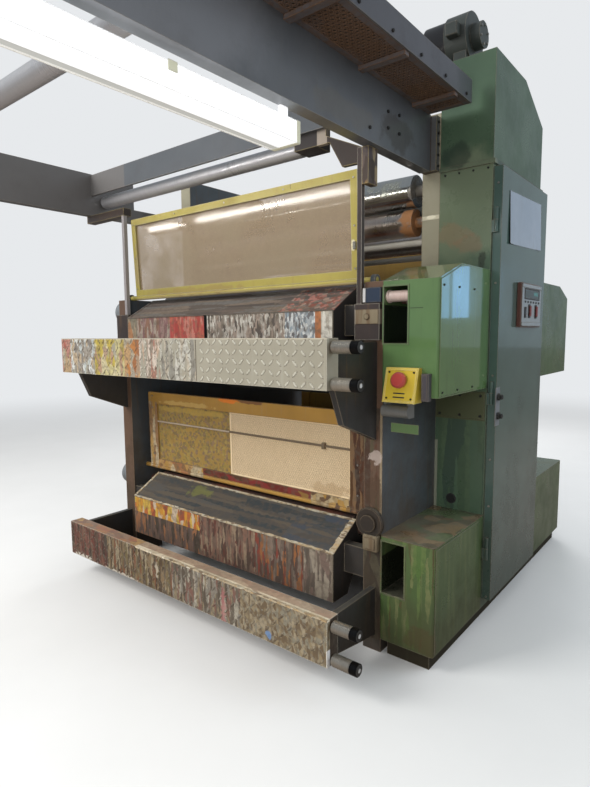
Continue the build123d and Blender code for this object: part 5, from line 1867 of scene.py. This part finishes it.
@dataclass
class BridgeDress(Dress):
    """Bolts, perforated walkway and lamp fittings of the bridge."""

    top: float = 2688.0
    hole_pitch: float = 24.0
    web: float = 1006.0

    def walkway(self) -> None:
        """Perforated walkway plate with its rim, its ribs and the sheet in it."""
        holes = [(x, y, self.top - 4) for x, y in honeycomb(1034, 1196, -2762, -496, self.hole_pitch)]
        sheet = self.sheet(holes, self.hole_pitch, 0.52, 0.003, "walkway_sheet", "rust_brown", WALKWAY,
                           Vector(Axis3.Z.value))
        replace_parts(sheet, "walkway_plate")
        low, high = self.top - 6, self.top
        rim = Solid().blocks(
            1, ((1006, -2790, low), (1036, -470, high)), ((1194, -2790, low), (1224, -470, high)),
            ((1036, -2790, low), (1194, -2758, high)), ((1036, -502, low), (1194, -470, high)),
            *(((1006, y - 18, low - 18), (1224, y + 18, low)) for y in evenly(-2600, -640, 5)),
        )
        self.put(rim, "walkway_rim", "rust_brown", WALKWAY)
        sheet = Solid().block((1034, -2760, high - 1), (1196, -500, high), 0.3)
        self.put(sheet, "walkway_top_sheet", "rust_brown", WALKWAY_TOP)

    def bolts(self) -> None:
        """Bolts on the toe board, the beam webs and the end bracket."""
        toe = [(1232, y, 2704) for y in evenly(-2700, -540, 10)]
        self.heads("walkway_bolts", DARK_SCREW, toe, Axis3.X, 8, 6)
        web = ((-1052, 2461), (-892, 2574), (-891, 2502), (-788, 2586), (-785, 2503))
        self.heads("beam_web_bolts", DARK_SCREW, [(self.web, y, z) for y, z in web], Axis3.X, 9, 6)
        end = [(1040, -426, z) for z in evenly(2430, 2650, 5)]
        self.heads("end_bracket_bolts", DARK_SCREW, end, Axis3.X, 8, 6)

    def lamp(self) -> None:
        """End caps, edge strips and clip of the lamp fitting."""
        ends = Solid().blocks(3, *(((827, y, 2289), (963, y + 22, 2375)) for y in (-2764, -1508)))
        self.put(ends, "lamp_end_caps", "lamp_white", LAMP_CAP)
        lips = Solid().blocks(0.5, *(
            ((x, -2742, z), (x + 2, -1508, z + 4)) for x in (960, 828) for z in (2290, 2368)
        ))
        self.put(lips, "lamp_edge_lips", "lamp_white", LAMP)
        self.put(Solid().block((959, -2120, 2344), (964, -2084, 2376)), "lamp_clip", "lamp_white", LAMP_CAP)

    def build(self) -> None:
        """Builds every piece."""
        self.walkway()
        self.bolts()
        self.lamp()


@dataclass
class MotorDress(Dress):
    """Ribs, flange bolts and terminal box of the motor."""

    axis_y: float = -200.0
    axis_z: float = 3120.0
    ribs: int = 28
    rib_radius: float = 123.0
    foot: float = -0.75

    def build(self) -> None:
        """Builds every piece."""
        ribs = Solid()
        for angle in (2 * math.pi * index / self.ribs for index in range(self.ribs)):
            if math.sin(angle) >= self.foot:
                y = self.axis_y + self.rib_radius * math.cos(angle)
                z = self.axis_z + self.rib_radius * math.sin(angle)
                ribs.rod((1020, y, z), (1122, y, z), 3.2, 6)
        self.put(ribs, "motor_ribs", "motor_grey", MOTOR, smooth=True)
        ring = [(1183, self.axis_y + 50 * math.cos(a), self.axis_z + 50 * math.sin(a)) for a in evenly(0.4, 5.6, 6)]
        self.heads("motor_flange_bolts", BRIGHT, ring, Axis3.X, 7, 6)
        self.put(Solid().block((1040, -372, 3088), (1104, -322, 3152), 4), "motor_terminal_box", "motor_grey", MOTOR)


@dataclass
class FrameDress(Dress):
    """Journal caps, foot bolts and small plates of the side frames."""

    outer: float = 1046.0

    def build(self) -> None:
        """Builds every piece."""
        caps = Solid()
        for _, level in DECKS:
            for side in (-1, 1):
                for y, z, radius in ((660, 560, 46), (485, 535, 52), (270, 505, 62)):
                    caps.round((-self.outer - 8, side * y, level + z), Axis3.LEFT, radius, 16, 32, 3)
        self.put(caps, "journal_caps", "frame_paint", ARM_STEEL, smooth=True)
        feet = [(x, y, 60) for x in (22 - self.outer, self.outer - 22) for y in (-960, -800, 800, 960)]
        self.heads("foot_bolts", DARK_SCREW, feet, Axis3.Z, 13, 10)
        for name, slot, finish, low, high, bevel in (
            ("guide_block", "frame_paint", BLUE_PLASTIC, (950, -1004, 1702), (1041, -985, 1772), 3),
            ("guide_block_strip", "lamp_white", WHITE_PLASTIC, (946, -1007, 1704), (962, -1004, 1770), 1),
            ("air_cylinder_plate", "green", UPPER_BOX, (1100, -1003, 1108), (1240, -1000, 1152), 1.5),
        ):
            self.put(Solid().block(low, high, bevel), name, slot, finish)


@dataclass
class ButtonDress(Dress):
    """Rim, slots and screws of the stop button box, and the junction box's lid."""

    face: float = -1070.0
    foot: float = 1254.0
    lean: float = 14.0

    def build(self) -> None:
        """Builds every piece."""
        face, foot, pivot = self.face, self.foot, (0, self.face, self.foot)
        rim = Solid().blocks(1.2, *(
            ((x0, face - 3, foot + h0), (x1, face, foot + h1))
            for x0, x1, h0, h1 in (
                (1094, 1246, 4, 12), (1094, 1246, 146, 154), (1094, 1102, 12, 146), (1238, 1246, 12, 146),
            )
        ))
        self.put(rim.leaned(pivot, -self.lean), "stop_box_rim", "stop_yellow", STOP_YELLOW)
        slots = Solid().blocks(0.3, *(((1142, face - 1.2, foot + h), (1198, face, foot + h + 6)) for h in (22, 40)))
        self.put(slots.leaned(pivot, -self.lean), "stop_box_slots", "dark_steel", BLACK_PLASTIC)
        turn = math.radians(self.lean)
        places = [(x, face + h * math.sin(turn), foot + h * math.cos(turn)) for x in (1110, 1230) for h in (20, 138)]
        self.heads("stop_box_screws", DARK_SCREW, places, Vector((0, -math.cos(turn), math.sin(turn))), 5, 3, 12)
        cover = Solid().block((1268, -1033, 1270), (1290, -1030, 1378), 1)
        self.put(cover, "junction_box_cover", "grey_plastic", JUNCTION)


@dataclass
class Studio:
    """Floor, world, lamps and camera."""

    eye: Point = (2336.0, -3233.0, 1560.0)
    yaw: float = 38.947
    pitch: float = -6.148
    roll: float = -0.428
    lens: float = 25.21
    pale: Colour = (800, 820, 840)
    near: float = 4.5
    far: float = 13.0
    floor_radius: float = 60.0
    clip_end: float = 200.0
    sensor: float = 36.0

    def camera(self) -> None:
        """Camera at the photograph's viewing angle."""
        data = bpy.data.cameras.new("camera")
        data.lens = self.lens
        data.sensor_width = self.sensor
        data.clip_end = self.clip_end
        camera = bpy.data.objects.new("camera", data)
        bpy.context.scene.collection.objects.link(camera)
        yaw, pitch, roll = (math.radians(value) for value in (self.yaw, self.pitch, self.roll))
        ahead = Vector((-math.sin(yaw) * math.cos(pitch), math.cos(yaw) * math.cos(pitch), math.sin(pitch)))
        right = Vector((math.cos(yaw), math.sin(yaw), 0.0))
        up = right.cross(ahead)
        tilted = right * math.cos(roll) + up * math.sin(roll)
        upright = -right * math.sin(roll) + up * math.cos(roll)
        turn = Matrix((tilted, upright, -ahead)).transposed().to_4x4()
        camera.matrix_world = Matrix.Translation(at(*self.eye)) @ turn
        bpy.context.scene.camera = camera

    @staticmethod
    def seen(path: Sockets, g: Graph) -> object:
        """Whether the camera sees a surface, straight or through a pane."""
        return g.math("MAXIMUM", path["Is Camera Ray"], path["Is Transmission Ray"])

    def world(self) -> None:
        """Pale world, softer in the light that it gives and darker in reflections."""
        world = bpy.data.worlds.new("studio")
        bpy.context.scene.world = world
        world.use_nodes = True
        g = Graph(world.node_tree)
        path = g.add("ShaderNodeLightPath").outputs
        lit = g.mix(self.seen(path, g), (620, 620, 610), self.pale)
        lit = g.mix(path["Is Glossy Ray"], lit, (280, 310, 340))
        g.fill(g.tree.nodes["Background"], {"Color": lit, "Strength": 1.0})

    def floor(self) -> None:
        """Pale floor that melts into the background far off."""
        mesh = bmesh.new()
        bmesh.ops.create_circle(mesh, cap_ends=True, segments=96, radius=self.floor_radius)
        data = bpy.data.meshes.new("floor")
        mesh.to_mesh(data)
        mesh.free()
        floor = bpy.data.objects.new("floor", data)
        bpy.context.scene.collection.objects.link(floor)
        material, g, shader = new_material("floor_pale")
        place = g.place()
        mottled = g.noise(place, 1.2, 4.0, 0.6)
        light = g.mix(mottled, (720, 730, 740), (800, 810, 820))
        dull = g.mix(mottled, (190, 160, 140), (280, 240, 210))
        path = g.add("ShaderNodeLightPath").outputs
        g.fill(shader, {"Base Color": g.mix(path["Is Camera Ray"], dull, light), "Roughness": 0.6})
        glow = g.add("ShaderNodeEmission", {0: rgba(self.pale)})
        melted = g.times(g.span(g.measure("LENGTH", place), self.near, self.far), self.seen(path, g))
        blend = g.add("ShaderNodeMixShader", {0: melted, 1: shader.outputs[0], 2: glow.outputs[0]})
        g.feed(g.tree.nodes["Material Output"].inputs["Surface"], blend.outputs[0])
        data.materials.append(material)

    def lamp(
        self, name: str, place: Point, aim: Point, size: tuple[float, float], power: float, colour: Colour,
        seen: bool = False,
    ) -> None:
        """A soft lamp.

        Args:
            name: its name.
            place, aim: where it hangs and what it looks at, in machine millimetres.
            size: its width and height in metres.
            power: its watts.
            colour: its colour.
            seen: whether glossy surfaces show it.
        """
        data = bpy.data.lights.new(name, "AREA")
        data.shape = "RECTANGLE"
        data.size, data.size_y = size
        data.energy = power
        data.color = rgba(colour)[:3]
        lamp = bpy.data.objects.new(name, data)
        bpy.context.scene.collection.objects.link(lamp)
        way = at(*aim) - at(*place)
        lamp.matrix_world = Matrix.Translation(at(*place)) @ way.to_track_quat("-Z", "Y").to_matrix().to_4x4()
        lamp.visible_camera = False
        lamp.visible_glossy = seen
        lamp.visible_diffuse = not seen

    def build(self) -> None:
        """Builds everything."""
        self.camera()
        self.world()
        self.floor()
        for name, place, aim, size, power, colour in (
            ("key", (-2600, -5200, 4600), (0, -600, 1300), (3.0, 3.0), 330.0, (1000, 980, 940)),
            ("side", (5200, 1800, 3600), (900, -300, 1500), (3.0, 3.0), 110.0, (820, 920, 1000)),
            ("fill", (1900, -4600, 1300), (500, -700, 1200), (2.0, 2.0), 56.0, (1000, 970, 920)),
            ("rear", (-1500, 5600, 4600), (0, 500, 1300), (3.0, 3.0), 200.0, (1000, 1000, 1000)),
        ):
            self.lamp(name, place, aim, size, power, colour)
        for name, place, aim, size, power, colour in (
            ("window_wide", (3565, 4650, 2150), (3565, 0, 2150), (0.25, 0.74), 1.5, (250, 550, 1000)),
            ("window_slim", (3820, 4650, 2150), (3820, 0, 2150), (0.16, 0.74), 0.7, (250, 550, 950)),
            ("strip", (-850, -1900, 2430), (-850, 0, 2400), (2.2, 0.035), 8.0, (1000, 960, 900)),
        ):
            self.lamp(name, place, aim, size, power, colour, seen=True)
        LOG.info("studio ready")


def main() -> None:
    """Builds the press's looks in order and reports each group."""
    logging.basicConfig(level=logging.INFO, format="%(message)s")
    bpy.context.scene.view_settings.view_transform = "Standard"
    Studio().build()
    shop = PaintShop(Effects())
    shop.dress()
    repeat = Repeater()
    for group in (GearCaseDress, GuardDress, DeckDress, BridgeDress, MotorDress, FrameDress, ButtonDress):
        group(shop, repeat).build()
        LOG.info("%s ready", group.__name__)


if __name__ == "__main__":
    main()
